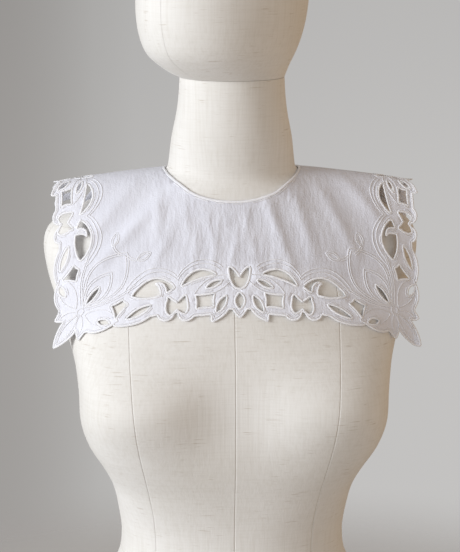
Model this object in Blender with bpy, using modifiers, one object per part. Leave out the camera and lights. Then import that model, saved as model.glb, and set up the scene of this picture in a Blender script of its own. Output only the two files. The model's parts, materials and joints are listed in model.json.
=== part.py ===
"""Cutwork collar on a limbless dress form with a plain head.

Units are metres and +Z is up. The origin is on the floor under the form's centre, the front faces -Y and +X is to
the viewer's right. The collar is one square of cotton with a round neck hole. Its flat plan is drawn first, then
bent over the shoulders and laid clear of the form. In the flat plan u runs across the body, and v runs down the
front from the shoulder ridge, so it is negative on the back.
"""

import math

import bpy
import bmesh
import numpy as np
from mathutils import Vector
from mathutils.bvhtree import BVHTree
from mathutils.geometry import delaunay_2d_cdt

# Cloth and trim
WALL = 0.0012
SEAM_GAP = 0.0003
REST_GAP = 0.0010
FACE_DIP = 0.0003
LAYING_ROUNDS = 4
EASING_ROUNDS = 6
TRIM_GAP = 0.0005
BINDING_RADIUS = 0.0011
SLIT_WIDTH = 0.0024
BUTTON_RADIUS = 0.0050
BUTTON_THICKNESS = 0.0022
LOOP_RADIUS = 0.0005

# Flat plan of the collar
PATTERN_SHIFT = 0.004
PLAN_CENTRE_V = -0.005
LENGTH_CUT = 0.012
CORNER_PLACE = 0.1685
NECK_HALF_WIDTH = 0.0700
NECK_HALF_DEPTH = 0.0660
NECK_CENTRE_V = -0.003
NECK_SQUARENESS = 2.15
NECK_POINTS = 64
PLAN_REACH = 0.230
GRID_STEP = 0.016
RIDGE_STEP = 0.0075
RIDGE_BAND = 0.045
GRID_MARGIN = 0.0048
MERGE_DISTANCE = 0.0001

# How the cloth turns over the shoulder
RIDGE_Z = 0.5495
RIDGE_Y = 0.004
SIDE_PULL = 0.05
PULL_LENGTH = 0.180
MARCH_STEP = 0.003
TUCK_START = 0.140
TUCK_END = 0.195
TUCK_REACH = 0.150
TUCK_DEPTH = 0.011

# u, drop of the ridge, turn in degrees, length of the turn, sharpness of the turn, slope at the ridge in degrees
FRONT_PROFILES = (
    (0.000, 0.000, 66.0, 0.050, 2.00, 6.0),
    (0.070, 0.001, 71.0, 0.040, 1.40, 0.0),
    (0.120, 0.0055, 75.0, 0.034, 1.15, 0.0),
    (0.160, 0.0105, 76.0, 0.027, 1.10, 0.0),
    (0.195, 0.0150, 79.0, 0.020, 1.10, 0.0),
)
BACK_PROFILES = (
    (0.000, 0.000, 86.0, 0.082, 2.00, 0.0),
    (0.070, 0.001, 88.0, 0.083, 1.80, 0.0),
    (0.120, 0.0055, 86.0, 0.062, 1.50, 0.0),
    (0.160, 0.0105, 82.0, 0.052, 1.30, 0.0),
    (0.195, 0.0150, 82.0, 0.046, 1.20, 0.0),
)

# Dress form: height, half width, half depth, centre in y, squareness of the section
BODY_SECTIONS = (
    (0.0000, 0.1600, 0.1140, 0.0040, 2.30),
    (0.0300, 0.1620, 0.1160, 0.0040, 2.30),
    (0.0700, 0.1550, 0.1120, 0.0040, 2.25),
    (0.1050, 0.1380, 0.1020, 0.0030, 2.20),
    (0.1350, 0.1215, 0.0920, 0.0020, 2.15),
    (0.1620, 0.1175, 0.0870, 0.0010, 2.15),
    (0.1900, 0.1205, 0.0880, -0.0010, 2.15),
    (0.2200, 0.1265, 0.0930, -0.0040, 2.15),
    (0.2450, 0.1370, 0.0990, -0.0070, 2.15),
    (0.2700, 0.1510, 0.1040, -0.0090, 2.15),
    (0.2950, 0.1585, 0.1070, -0.0100, 2.15),
    (0.3250, 0.1600, 0.1090, -0.0090, 2.15),
    (0.3550, 0.1640, 0.1080, -0.0050, 2.15),
    (0.3850, 0.1730, 0.1040, 0.0020, 2.10),
    (0.4100, 0.1815, 0.1010, 0.0070, 2.05),
    (0.4350, 0.1900, 0.0970, 0.0120, 2.00),
    (0.4600, 0.1950, 0.0910, 0.0160, 2.00),
    (0.4750, 0.1950, 0.0870, 0.0180, 2.00),
    (0.4880, 0.1900, 0.0840, 0.0190, 2.00),
    (0.4980, 0.1780, 0.0800, 0.0180, 2.00),
    (0.5080, 0.1600, 0.0760, 0.0170, 2.00),
    (0.5180, 0.1390, 0.0720, 0.0160, 2.00),
    (0.5270, 0.1190, 0.0680, 0.0145, 2.00),
    (0.5350, 0.0970, 0.0645, 0.0120, 2.00),
    (0.5410, 0.0780, 0.0602, 0.0100, 2.00),
    (0.5470, 0.0680, 0.0574, 0.0080, 2.00),
    (0.5540, 0.0655, 0.0565, 0.0060, 2.00),
    (0.5660, 0.0640, 0.0560, 0.0035, 2.00),
    (0.5830, 0.0618, 0.0550, -0.0005, 2.00),
    (0.6060, 0.0572, 0.0535, -0.0045, 2.00),
    (0.6240, 0.0548, 0.0525, -0.0070, 2.00),
    (0.6440, 0.0535, 0.0525, -0.0090, 2.00),
)
BODY_SIDES = 48
# Height and squareness of the section's front half
FRONT_SQUARENESS = (
    (0.0000, 2.30), (0.1350, 2.20), (0.1830, 2.40), (0.2240, 3.00), (0.2550, 3.80), (0.3150, 4.00),
    (0.3450, 3.80), (0.3850, 3.00), (0.4100, 2.40), (0.4350, 2.00), (0.6440, 2.00),
)
# The bust: how far the chest swells out, the depth and half width of the hollow in its middle, the height and the
# spread of both
BUST_SWELL = 0.0184
HOLLOW_DEPTH = 0.0264
HOLLOW_WIDTH = 0.064
BUST_Z = 0.315
BUST_HEIGHT = 0.042

# Head: height above the neck joint, half length along the face, half width, centre along the face
HEAD_SECTIONS = (
    (0.0000, 0.0540, 0.0530, 0.0000),
    (0.0050, 0.0620, 0.0570, 0.0060),
    (0.0130, 0.0720, 0.0620, 0.0120),
    (0.0240, 0.0825, 0.0690, 0.0170),
    (0.0380, 0.0900, 0.0745, 0.0180),
    (0.0580, 0.0960, 0.0785, 0.0170),
    (0.0820, 0.0985, 0.0800, 0.0150),
    (0.1080, 0.0965, 0.0785, 0.0120),
    (0.1340, 0.0900, 0.0740, 0.0090),
    (0.1580, 0.0785, 0.0655, 0.0060),
    (0.1770, 0.0625, 0.0530, 0.0040),
    (0.1900, 0.0430, 0.0370, 0.0020),
    (0.1970, 0.0210, 0.0180, 0.0010),
    (0.1995, 0.0060, 0.0050, 0.0000),
)
HEAD_SIDES = 32
HEAD_TURN = math.radians(-40.0)
HEAD_Y = -0.009

# The plan's border, for half of one side: a is the distance along the side from its middle and b the distance out
# from the plan's centre. Every row is mirrored in its side and repeated on all four sides.
# start a, start b, end a, end b, width
SLITS = (
    (0.0185, 0.1605, 0.0345, 0.1675, 0.0050),
    (0.0140, 0.1765, 0.0245, 0.1925, 0.0068),
    (0.0920, 0.1785, 0.1165, 0.1880, 0.0064),
    (0.1335, 0.1890, 0.1465, 0.1825, 0.0056),
)
# start a, start b, end a, end b, rise of the outer arc, rise of the inner arc
CRESCENTS = (
    (0.0240, 0.1545, 0.0600, 0.1635, 0.0100, 0.0015),
    (0.0675, 0.1635, 0.1110, 0.1650, 0.0125, -0.0065),
)
# corners as a, b pairs
QUADS = (
    ((0.0265, 0.1735), (0.0455, 0.1745), (0.0450, 0.1875), (0.0275, 0.1870)),
    ((0.1150, 0.1725), (0.1205, 0.1670), (0.1320, 0.1705), (0.1275, 0.1850)),
)
# centre a, centre b, then half outlines as a, b steps from that centre
TULIP_CENTRE = (0.0655, 0.1800)
TULIP_HALF = (
    (0.0000, 0.0000), (0.0045, -0.0035), (0.0090, -0.0068), (0.0106, -0.0010),
    (0.0110, 0.0065), (0.0080, 0.0112), (0.0040, 0.0098), (0.0000, 0.0062),
)
HEART_CENTRE = (0.0, 0.1580)
HEART_HALF = (
    (0.0000, 0.0000), (0.0050, -0.0070), (0.0105, -0.0105), (0.0095, 0.0000), (0.0055, 0.0085), (0.0000, 0.0110),
)
CENTRE_SLIT = (0.0, 0.1735, 0.0, 0.1895, 0.0092)
CORNER_SLIT = (0.1455, 0.1455, 0.1605, 0.1605, 0.0056)

# Cloth that stands out past the hem, or lies across a gap: start a, start b, end a, end b, width
HEM_LEAVES = (
    (0.0000, 0.1660, 0.0000, 0.1985, 0.0195),
    (0.0080, 0.1680, 0.0295, 0.2020, 0.0175),
    (0.0780, 0.1710, 0.1300, 0.1920, 0.0250),
    (0.1240, 0.1870, 0.1700, 0.1780, 0.0235),
    (0.1590, 0.1650, 0.1700, 0.1950, 0.0155),
)
HEM_BAR = (0.0270, 0.1910, 0.0500, 0.1915, 0.0078)
TULIP_HORN = (
    (0.0872, 0.1566), (0.0840, 0.1605), (0.0822, 0.1680), (0.0835, 0.1780),
    (0.0755, 0.1780), (0.0752, 0.1690), (0.0766, 0.1615), (0.0806, 0.1570),
)
# centre a, centre b, radius
LOBES = ((0.0555, 0.1900, 0.0093), (0.0770, 0.1880, 0.0090))
CORNER_LEAF = (0.1620, 0.1620, 0.1985, 0.1985, 0.0185)
BASE_CORNER = ((0.1640, 0.1900), (0.1730, 0.1830), (0.1790, 0.1790))
BACK_SIDE = 2

# Closure at the back of the neck, in the plan
BUTTON_U = 0.0085
BUTTON_V = -0.0775
LOOP_ROOT_U = -0.0030
LOOP_SPREAD = 0.0022
LOOP_ARC_START = math.radians(140.0)
LOOP_ARC_POINTS = 15


def blend(table, place):
    """One row of a table, read between its rows along a smooth curve that is level at the first row."""
    last = len(table) - 1
    low = next((i for i in range(last) if place <= table[i + 1][0]), last - 1)
    slopes = []
    for i in (low, low + 1):
        before, after = table[max(i - 1, 0)], table[min(i + 1, last)]
        width = after[0] - before[0]
        slopes.append([0.0 if i == 0 else (q - p) / width for p, q in zip(before[1:], after[1:])])
    span = table[low + 1][0] - table[low][0]
    t = min(1.0, (place - table[low][0]) / span)
    ends = zip(table[low][1:], table[low + 1][1:], *slopes)
    return [(1.0 + 2.0 * t) * (1.0 - t) ** 2 * p + t * t * (3.0 - 2.0 * t) * q
            + t * (1.0 - t) ** 2 * span * m - t * t * (1.0 - t) * span * n for p, q, m, n in ends]


def drape(u, v):
    """The point in space of a point of the flat plan, before it is laid clear of the form."""
    table = FRONT_PROFILES if v >= 0.0 else BACK_PROFILES
    forward = -1.0 if v >= 0.0 else 1.0
    drop, turn, length, sharpness, start = blend(table, abs(u))
    run = abs(v)
    steps = max(1, math.ceil(run / MARCH_STEP))
    step = run / steps
    y, z = 0.0, 0.0
    for i in range(steps):
        along = (i + 0.5) * step
        angle = math.radians(start + turn * (1.0 - math.exp(-((along / length) ** sharpness))))
        y += step * math.cos(angle)
        z -= step * math.sin(angle)
    x = u * (1.0 - SIDE_PULL * min(1.0, run / PULL_LENGTH))
    over = max(0.0, (abs(u) - TUCK_START) / (TUCK_END - TUCK_START))
    near = max(0.0, 1.0 - (v / TUCK_REACH) ** 2)
    tuck = TUCK_DEPTH * over ** 1.5 * near ** 2
    return Vector((x - math.copysign(tuck, u), RIDGE_Y + forward * y, RIDGE_Z - drop + z))


def laid(point, form, clearance):
    """The point moved out of the form's surface to the clearance, where it is nearer than that."""
    near, normal, _, _ = form.find_nearest(point)
    height = (point - near).dot(normal)
    if height < clearance:
        return near + normal * clearance
    return point


def ellipse_ring(half_x, half_y, squareness, sides):
    """Points of a superellipse, counter-clockwise from +X."""
    ring = []
    for i in range(sides):
        angle = 2.0 * math.pi * i / sides
        c, s = math.cos(angle), math.sin(angle)
        ring.append((math.copysign(abs(c) ** (2.0 / squareness), c) * half_x,
                     math.copysign(abs(s) ** (2.0 / squareness), s) * half_y))
    return ring


def loft(name, rings):
    """A closed body through rings of points, capped flat at both ends."""
    bm = bmesh.new()
    rows = [[bm.verts.new(p) for p in ring] for ring in rings]
    count = len(rings[0])
    for low, high in zip(rows[:-1], rows[1:]):
        for i in range(count):
            j = (i + 1) % count
            bm.faces.new((low[i], low[j], high[j], high[i]))
    bm.faces.new(list(reversed(rows[0])))
    bm.faces.new(rows[-1])
    mesh = bpy.data.meshes.new(name)
    bm.to_mesh(mesh)
    bm.free()
    return mesh


def body_ring(z, half_x, half_y, centre_y, squareness):
    """One section of the torso. Its front half is squarer, swells at the bust and is hollow in the middle there."""
    bust = math.exp(-((z - BUST_Z) / BUST_HEIGHT) ** 2)
    heights, values = zip(*FRONT_SQUARENESS)
    front = ellipse_ring(half_x, half_y + BUST_SWELL * bust, float(np.interp(z, heights, values)), BODY_SIDES)
    back = ellipse_ring(half_x, half_y, squareness, BODY_SIDES)
    ring = []
    for (x, y), (back_x, back_y) in zip(front, back):
        if y < 0.0:
            ring.append((x, centre_y + y + HOLLOW_DEPTH * bust * math.exp(-(x / HOLLOW_WIDTH) ** 2), z))
        else:
            ring.append((back_x, centre_y + back_y, z))
    return ring


def body_mesh():
    """Torso and neck of the dress form, from the flat base at the hips up to the neck joint."""
    return loft("form_body", [body_ring(*section) for section in BODY_SECTIONS])


def head_mesh():
    """The plain head, turned to the viewer's left, from the neck joint to its top."""
    base_z = BODY_SECTIONS[-1][0] + SEAM_GAP
    cos_t, sin_t = math.cos(HEAD_TURN), math.sin(HEAD_TURN)
    rings = []
    for z, half_long, half_wide, centre in HEAD_SECTIONS:
        ring = []
        for x, y in ellipse_ring(half_wide, half_long, 2.0, HEAD_SIDES):
            y -= centre
            ring.append((x * cos_t - y * sin_t, HEAD_Y + x * sin_t + y * cos_t, base_z + z))
        rings.append(ring)
    return loft("form_head", rings)


def almond(start_a, start_b, end_a, end_b, width, points=5):
    """A pointed leaf between two points, as a closed outline."""
    ax, ay = end_a - start_a, end_b - start_b
    length = math.hypot(ax, ay)
    nx, ny = -ay / length, ax / length
    outline = []
    for side in (1.0, -1.0):
        for i in range(points):
            t = i / points if side > 0 else 1.0 - i / points
            bulge = side * width / 2.0 * math.sin(math.pi * t) ** 0.8
            outline.append((start_a + ax * t + nx * bulge, start_b + ay * t + ny * bulge))
    return outline


def crescent(start_a, start_b, end_a, end_b, rise_out, rise_in, points=6):
    """A gap between two arcs with the same ends. A rise is towards the plan's centre."""
    ax, ay = end_a - start_a, end_b - start_b
    length = math.hypot(ax, ay)
    nx, ny = ay / length, -ax / length
    outline = []
    for rise, forward in ((rise_out, True), (rise_in, False)):
        for i in range(points):
            t = i / points if forward else 1.0 - i / points
            bulge = rise * math.sin(math.pi * t) ** 0.75
            outline.append((start_a + ax * t + nx * bulge, start_b + ay * t + ny * bulge))
    return outline


def bar(start_a, start_b, end_a, end_b, width):
    """A straight strip between two points."""
    ax, ay = end_a - start_a, end_b - start_b
    length = math.hypot(ax, ay)
    nx, ny = -ay / length * width / 2.0, ax / length * width / 2.0
    return [(start_a + nx, start_b + ny), (start_a - nx, start_b - ny),
            (end_a - nx, end_b - ny), (end_a + nx, end_b + ny)]


def disc(centre_a, centre_b, radius, points=12):
    """A round lobe."""
    return [(centre_a + radius * math.cos(2.0 * math.pi * i / points),
             centre_b + radius * math.sin(2.0 * math.pi * i / points)) for i in range(points)]


def mirrored_outline(centre, half):
    """An outline that is the same on both sides of its middle line, from the points of one side."""
    right = [(centre[0] + a, centre[1] + b) for a, b in half]
    left = [(centre[0] - a, centre[1] + b) for a, b in half[1:-1]]
    return right + list(reversed(left))


def side_layers():
    """One side's painted outlines, in three layers: cloth past the hem, gaps, and strips over gaps."""
    leaves = [almond(*leaf, points=6) for leaf in HEM_LEAVES]
    leaves += [bar(*HEM_BAR)]
    leaves += [disc(*lobe) for lobe in LOBES]
    gaps = [almond(*slit) for slit in SLITS]
    gaps += [crescent(*row) for row in CRESCENTS]
    gaps += [list(quad) for quad in QUADS]
    gaps += [mirrored_outline(TULIP_CENTRE, TULIP_HALF)]
    strips = [list(TULIP_HORN)]
    layers = []
    for half in (leaves, gaps, strips):
        layers.append(half + [[(-a, b) for a, b in outline] for outline in half])
    return layers


def on_side(turn, a, b):
    """A border point put on one of the four sides: 0 front, 1 viewer's right, 2 back, 3 viewer's left."""
    shorter = (CORNER_PLACE - LENGTH_CUT) / CORNER_PLACE
    across, down = ((a, b - LENGTH_CUT), (b, -a * shorter), (-a, LENGTH_CUT - b), (-b, a * shorter))[turn]
    return (across + PATTERN_SHIFT, down + PLAN_CENTRE_V)


def base_square():
    """The plan's plain square, with its corners cut off behind the corner leaves."""
    side = [(-a, b) for a, b in reversed(BASE_CORNER[:-1])] + list(BASE_CORNER)
    return [on_side(turn, a, b) for turn in range(4) for a, b in side]


def neck_outline(inset, count):
    """The neck hole's edge in the plan, moved inwards by the inset, from the middle of the back and round."""
    outline = []
    for i in range(count):
        angle = -math.pi / 2.0 + 2.0 * math.pi * i / count
        c, s = math.cos(angle), math.sin(angle)
        u = math.copysign(abs(c) ** (2.0 / NECK_SQUARENESS), c) * (NECK_HALF_WIDTH - inset)
        v = math.copysign(abs(s) ** (2.0 / NECK_SQUARENESS), s) * (NECK_HALF_DEPTH - inset)
        outline.append((u, v + NECK_CENTRE_V))
    return outline


def divided(outline, longest):
    """The outline with points added on edges that are longer than the longest allowed."""
    result = []
    for (u0, v0), (u1, v1) in zip(outline, outline[1:] + outline[:1]):
        parts = max(1, math.ceil(math.hypot(u1 - u0, v1 - v0) / longest))
        result += [(u0 + (u1 - u0) * i / parts, v0 + (v1 - v0) * i / parts) for i in range(parts)]
    return result


def counter_clockwise(outline):
    """The outline turned so that its inside lies on its left."""
    area = sum(u0 * v1 - u1 * v0 for (u0, v0), (u1, v1) in zip(outline, outline[1:] + outline[:1]))
    return outline if area > 0.0 else list(reversed(outline))


def plan_shapes():
    """Every painted shape of the plan, as (is cloth, outline): a later one hides what lies under it."""
    shapes = [(True, divided(base_square(), GRID_STEP))]
    leaves, gaps, strips = side_layers()
    middle = [mirrored_outline(HEART_CENTRE, HEART_HALF), almond(*CENTRE_SLIT)]
    for turn in range(4):
        for outline in leaves + [almond(*CORNER_LEAF, points=6)]:
            shapes.append((True, [on_side(turn, a, b) for a, b in outline]))
    for turn in range(4):
        in_middle = [] if turn == BACK_SIDE else middle
        for outline in gaps + in_middle + [almond(*CORNER_SLIT)]:
            shapes.append((False, [on_side(turn, a, b) for a, b in outline]))
        for outline in strips:
            shapes.append((True, [on_side(turn, a, b) for a, b in outline]))
    shapes.append((False, neck_outline(0.0, NECK_POINTS)))
    return shapes


def box(low_u, high_u, low_v, high_v):
    """A rectangle of the plan, with enough points for it to bend."""
    return divided([(low_u, low_v), (high_u, low_v), (high_u, high_v), (low_u, high_v)], GRID_STEP)


def panel_cuts():
    """What is cut away from the whole plan to leave each panel."""
    reach, seam, slit = PLAN_REACH, SEAM_GAP / 2.0, SLIT_WIDTH / 2.0
    front = box(-reach, reach, -seam, reach)
    return {
        "collar_front": [box(-reach, reach, -reach, seam)],
        "collar_back_left": [front, box(-slit, reach, -reach, reach)],
        "collar_back_right": [front, box(-reach, slit, -reach, reach)],
    }


def grid_points(shapes):
    """Points inside the plan, closer together near the shoulder ridge, and clear of every outline."""
    starts = np.array([p for _, outline in shapes for p in outline])
    ends = np.array([p for _, outline in shapes for p in outline[1:] + outline[:1]])
    along = ends - starts
    squared = np.maximum((along ** 2).sum(axis=1), 1e-12)
    rows = []
    v = RIDGE_STEP / 2.0
    while v < PLAN_REACH:
        rows += [v, -v]
        v += RIDGE_STEP if v < RIDGE_BAND else GRID_STEP
    columns = np.arange(-PLAN_REACH + GRID_STEP / 2.0, PLAN_REACH, GRID_STEP)
    points = []
    for v in rows:
        for u in columns:
            share = np.clip((((u, v) - starts) * along).sum(axis=1) / squared, 0.0, 1.0)
            away = np.hypot(*((u, v) - starts - along * share[:, None]).T)
            if away.min() > GRID_MARGIN:
                points.append((float(u), float(v)))
    return points


def fans(vertex, triangles):
    """The groups of a vertex's triangles that are joined to each other by edges at that vertex."""
    groups = []
    for tri in triangles:
        ends = set(tri) - {vertex}
        joined = [g for g in groups if g[0] & ends]
        groups = [g for g in groups if not g[0] & ends]
        groups.append((set.union(ends, *[g[0] for g in joined]), sum([g[1] for g in joined], [tri])))
    return [g[1] for g in groups]


def without_pinches(triangles):
    """The triangles less the smaller side of each place where two areas meet at a single point."""
    kept = set(triangles)
    while True:
        around = {}
        for tri in sorted(kept):
            for vertex in tri:
                around.setdefault(vertex, []).append(tri)
        drop = set()
        for vertex, tris in around.items():
            groups = sorted(fans(vertex, tris), key=len)
            for group in groups[:-1]:
                drop.update(group)
        if not drop:
            return sorted(kept)
        kept -= drop


def plan_area(tri, places):
    """The area of one triangle of the plan."""
    (u0, v0), (u1, v1), (u2, v2) = (places[i] for i in tri)
    return abs((u1 - u0) * (v2 - v0) - (u2 - u0) * (v1 - v0)) / 2.0


def connected(triangles):
    """The triangles in groups that hang together."""
    owner = {}
    for tri in triangles:
        for vertex in tri:
            owner.setdefault(vertex, []).append(tri)
    groups, seen = [], set()
    for first in triangles:
        if first in seen:
            continue
        group, stack = [], [first]
        seen.add(first)
        while stack:
            tri = stack.pop()
            group.append(tri)
            for vertex in tri:
                for other in owner[vertex]:
                    if other not in seen:
                        seen.add(other)
                        stack.append(other)
        groups.append(group)
    return groups


def panel_plan(cuts):
    """The places and triangles of one panel of the flat plan."""
    shapes = plan_shapes() + [(False, outline) for outline in cuts]
    shapes = [(is_cloth, counter_clockwise(outline)) for is_cloth, outline in shapes]
    places, faces = [], []
    for _, outline in shapes:
        faces.append(list(range(len(places), len(places) + len(outline))))
        places += outline
    places += grid_points(shapes)
    flat = [Vector(p) for p in places]
    found, _, triangles, _, _, origins = delaunay_2d_cdt(flat, [], faces, 0, MERGE_DISTANCE)
    cloth = [tuple(tri) for tri, painted in zip(triangles, origins) if painted and shapes[max(painted)][0]]
    places = [(p.x, p.y) for p in found]
    groups = connected(without_pinches(cloth))
    return places, max(groups, key=lambda group: sum(plan_area(tri, places) for tri in group))


def lift_faces(points, faces, form):
    """Moves the corners of each face out until its middle and its edges clear the form too."""
    for face in faces:
        corners = [points[i] for i in face]
        pairs = [(a + b) / 2.0 for a, b in zip(corners, corners[1:] + corners[:1])]
        for sample in pairs + [sum(corners, Vector()) / 3.0]:
            near, normal, _, _ = form.find_nearest(sample)
            short = REST_GAP + WALL / 2.0 - FACE_DIP - (sample - near).dot(normal)
            if short > 0.0:
                for i in face:
                    points[i] = points[i] + normal * short


def eased(shifts, faces):
    """The points' shifts, evened out with those of their neighbours."""
    edges = {tuple(sorted(pair)) for face in faces for pair in zip(face, face[1:] + face[:1])}
    for _ in range(EASING_ROUNDS):
        totals = [shift.copy() for shift in shifts]
        counts = [1] * len(shifts)
        for a, b in sorted(edges):
            totals[a] += shifts[b]
            totals[b] += shifts[a]
            counts[a] += 1
            counts[b] += 1
        shifts = [total / count for total, count in zip(totals, counts)]
    return shifts


def panel_mesh(name, places, triangles, form):
    """The middle surface of one panel, bent over the shoulders, facing away from the form."""
    used = sorted({i for tri in triangles for i in tri})
    slot = {i: n for n, i in enumerate(used)}
    faces = [[slot[i] for i in reversed(tri)] for tri in triangles]
    clearance = REST_GAP + WALL / 2.0
    bent = [drape(*places[i]) for i in used]
    shifts = eased([laid(point, form, clearance) - point for point in bent], faces)
    points = [laid(point + shift, form, clearance) for point, shift in zip(bent, shifts)]
    for _ in range(LAYING_ROUNDS):
        lift_faces(points, faces, form)
    mesh = bpy.data.meshes.new(name)
    mesh.from_pydata(points, [], faces)
    return mesh


def on_cloth(u, v, cloth, height):
    """A point at a height over the cloth's middle surface, with the outward normal there."""
    near, normal, _, _ = cloth.find_nearest(drape(u, v))
    return near + normal * height, normal


def tube(name, points, radius):
    """A cord through points, with closed ends."""
    curve = bpy.data.curves.new(name, "CURVE")
    curve.dimensions = "3D"
    curve.bevel_depth = radius
    curve.bevel_resolution = 1
    curve.use_fill_caps = True
    spline = curve.splines.new("POLY")
    spline.points.add(len(points) - 1)
    for knot, point in zip(spline.points, points):
        knot.co = (*point, 1.0)
    return bpy.data.objects.new(name, curve)


def neck_binding(form, panels):
    """The narrow rolled edge just inside the neck hole, open at the slit and clear of the panels' rims."""
    points = []
    for u, v in neck_outline(BINDING_RADIUS + SEAM_GAP, NECK_POINTS)[1:]:
        point = drape(u, v)
        for _ in range(LAYING_ROUNDS):
            point = laid(point, form, TRIM_GAP + BINDING_RADIUS)
            for cloth in panels:
                near, _, _, away = cloth.find_nearest(point)
                point = near + (point - near).normalized() * max(away, BINDING_RADIUS + TRIM_GAP)
        points.append(point)
    return tube("neck_binding", points, BINDING_RADIUS)


def button_frame(cloth):
    """The middle of the button beside the slit, with its outward and sideways directions."""
    middle, out = on_cloth(BUTTON_U, BUTTON_V, cloth, WALL / 2.0 + TRIM_GAP + BUTTON_THICKNESS / 2.0)
    side = (Vector((1.0, 0.0, 0.0)) - out * out.x).normalized()
    return middle, out, side


def neck_button(middle, out):
    """The small round button."""
    bpy.ops.mesh.primitive_cylinder_add(vertices=24, radius=BUTTON_RADIUS, depth=BUTTON_THICKNESS)
    button = bpy.context.object
    button.name = "neck_button"
    button.location = middle
    button.rotation_mode = "QUATERNION"
    button.rotation_quaternion = out.to_track_quat("Z", "Y")
    rounding = button.modifiers.new("rounding", "BEVEL")
    rounding.width = BUTTON_THICKNESS * 0.35
    rounding.segments = 2
    return button


def button_loop(middle, out, side, left_cloth):
    """The thread loop, from the back left panel round the button."""
    bend = BUTTON_RADIUS + LOOP_RADIUS + SEAM_GAP
    level = middle + out * (LOOP_RADIUS - BUTTON_THICKNESS / 2.0)
    up = out.cross(side)
    points = []
    for i in range(LOOP_ARC_POINTS):
        angle = LOOP_ARC_START * (1.0 - 2.0 * i / (LOOP_ARC_POINTS - 1))
        points.append(level + side * bend * math.cos(angle) + up * bend * math.sin(angle))
    height = WALL / 2.0 + TRIM_GAP + LOOP_RADIUS
    roots = [on_cloth(LOOP_ROOT_U, BUTTON_V + way * LOOP_SPREAD, left_cloth, height)[0] for way in (-1.0, 1.0)]
    roots.sort(key=lambda root: (root - points[0]).length)
    return tube("button_loop", [roots[0]] + points + [roots[1]], LOOP_RADIUS)


def material(name, colour, roughness):
    """A plain finish."""
    finish = bpy.data.materials.new(name)
    finish.use_nodes = True
    shader = finish.node_tree.nodes["Principled BSDF"]
    shader.inputs["Base Color"].default_value = (*colour, 1.0)
    shader.inputs["Roughness"].default_value = roughness
    shader.inputs["Metallic"].default_value = 0.0
    return finish


def surface(mesh):
    """A mesh made ready for nearest-point searches."""
    return BVHTree.FromPolygons([v.co for v in mesh.vertices], [p.vertices for p in mesh.polygons])


def smooth(mesh):
    """Rounds the shading, with sharp rims."""
    mesh.shade_smooth()
    mesh.set_sharp_from_angle(angle=math.radians(40.0))


def main():
    """Builds the collar and its form."""
    for obj in list(bpy.data.objects):
        bpy.data.objects.remove(obj, do_unlink=True)
    home = bpy.data.collections.new("cutwork_collar_on_dress_form")
    bpy.context.scene.collection.children.link(home)
    cotton = material("white_cotton", (0.90, 0.89, 0.92), 0.85)
    linen = material("natural_linen", (0.84, 0.81, 0.74), 0.80)
    shell = material("shell_button", (0.92, 0.90, 0.86), 0.30)

    body = body_mesh()
    head = head_mesh()
    form = surface(body)
    for mesh in (body, head):
        smooth(mesh)
        mesh.materials.append(linen)
        home.objects.link(bpy.data.objects.new(mesh.name, mesh))

    panels = {name: panel_mesh(name, *panel_plan(cuts), form) for name, cuts in panel_cuts().items()}
    for name, mesh in panels.items():
        smooth(mesh)
        mesh.materials.append(cotton)
        panel = bpy.data.objects.new(name, mesh)
        home.objects.link(panel)
        wall = panel.modifiers.new("wall", "SOLIDIFY")
        wall.thickness = WALL
        wall.offset = 0.0
        wall.use_even_offset = True

    cloths = {name: surface(mesh) for name, mesh in panels.items()}
    middle, out, side = button_frame(cloths["collar_back_right"])
    loop = button_loop(middle, out, side, cloths["collar_back_left"])
    for cord in (neck_binding(form, cloths.values()), loop):
        cord.data.materials.append(cotton)
        home.objects.link(cord)
    button = neck_button(middle, out)
    button.data.materials.append(shell)
    smooth(button.data)
    for holder in list(button.users_collection):
        holder.objects.unlink(button)
    home.objects.link(button)


main()
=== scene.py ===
"""Dressed model of a cutwork cotton collar on a plain dress form, with its studio light and camera.

Units are metres, +Z is up, the form's front faces -Y and +X is to the viewer's right. The collar is one
square of cotton. Its flat plan is drawn first: u runs across the body, and v runs down the front from the
shoulder ridge, so it is negative on the back. The plan is then bent over the shoulders and laid on the form,
and every stitched line is placed on the cloth by its place in the plan.
"""

import json
import logging
import math
from dataclasses import dataclass, field
from enum import Enum
from typing import Any, Iterable, Optional, Sequence

import bmesh
import bpy
import numpy as np
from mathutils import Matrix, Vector
from mathutils.bvhtree import BVHTree
from mathutils.geometry import delaunay_2d_cdt

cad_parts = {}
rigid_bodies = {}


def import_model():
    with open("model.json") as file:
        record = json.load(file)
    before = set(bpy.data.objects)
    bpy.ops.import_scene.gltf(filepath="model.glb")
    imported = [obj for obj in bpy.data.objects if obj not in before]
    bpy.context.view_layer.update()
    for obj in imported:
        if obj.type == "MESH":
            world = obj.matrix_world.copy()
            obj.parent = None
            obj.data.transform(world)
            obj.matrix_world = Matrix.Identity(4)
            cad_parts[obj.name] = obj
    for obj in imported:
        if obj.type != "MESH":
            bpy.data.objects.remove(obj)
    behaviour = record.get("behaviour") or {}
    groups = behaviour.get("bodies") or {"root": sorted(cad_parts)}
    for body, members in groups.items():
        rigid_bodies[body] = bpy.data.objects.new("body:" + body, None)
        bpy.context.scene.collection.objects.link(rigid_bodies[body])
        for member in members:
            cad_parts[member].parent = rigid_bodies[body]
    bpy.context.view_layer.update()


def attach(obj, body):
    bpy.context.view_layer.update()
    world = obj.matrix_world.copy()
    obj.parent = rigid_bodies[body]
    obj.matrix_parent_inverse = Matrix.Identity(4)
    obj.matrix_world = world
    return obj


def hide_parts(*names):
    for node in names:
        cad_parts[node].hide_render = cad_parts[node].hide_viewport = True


LOG = logging.getLogger("cutwork_collar")
TURN = 2.0 * math.pi

Point2 = tuple[float, float]
Outline = list[Point2]
Row = tuple[float, ...]


class Side(Enum):
    """The four sides of the square plan, with the number of quarter turns from the front."""

    FRONT = 0
    RIGHT = 1
    BACK = 2
    LEFT = 3


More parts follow.
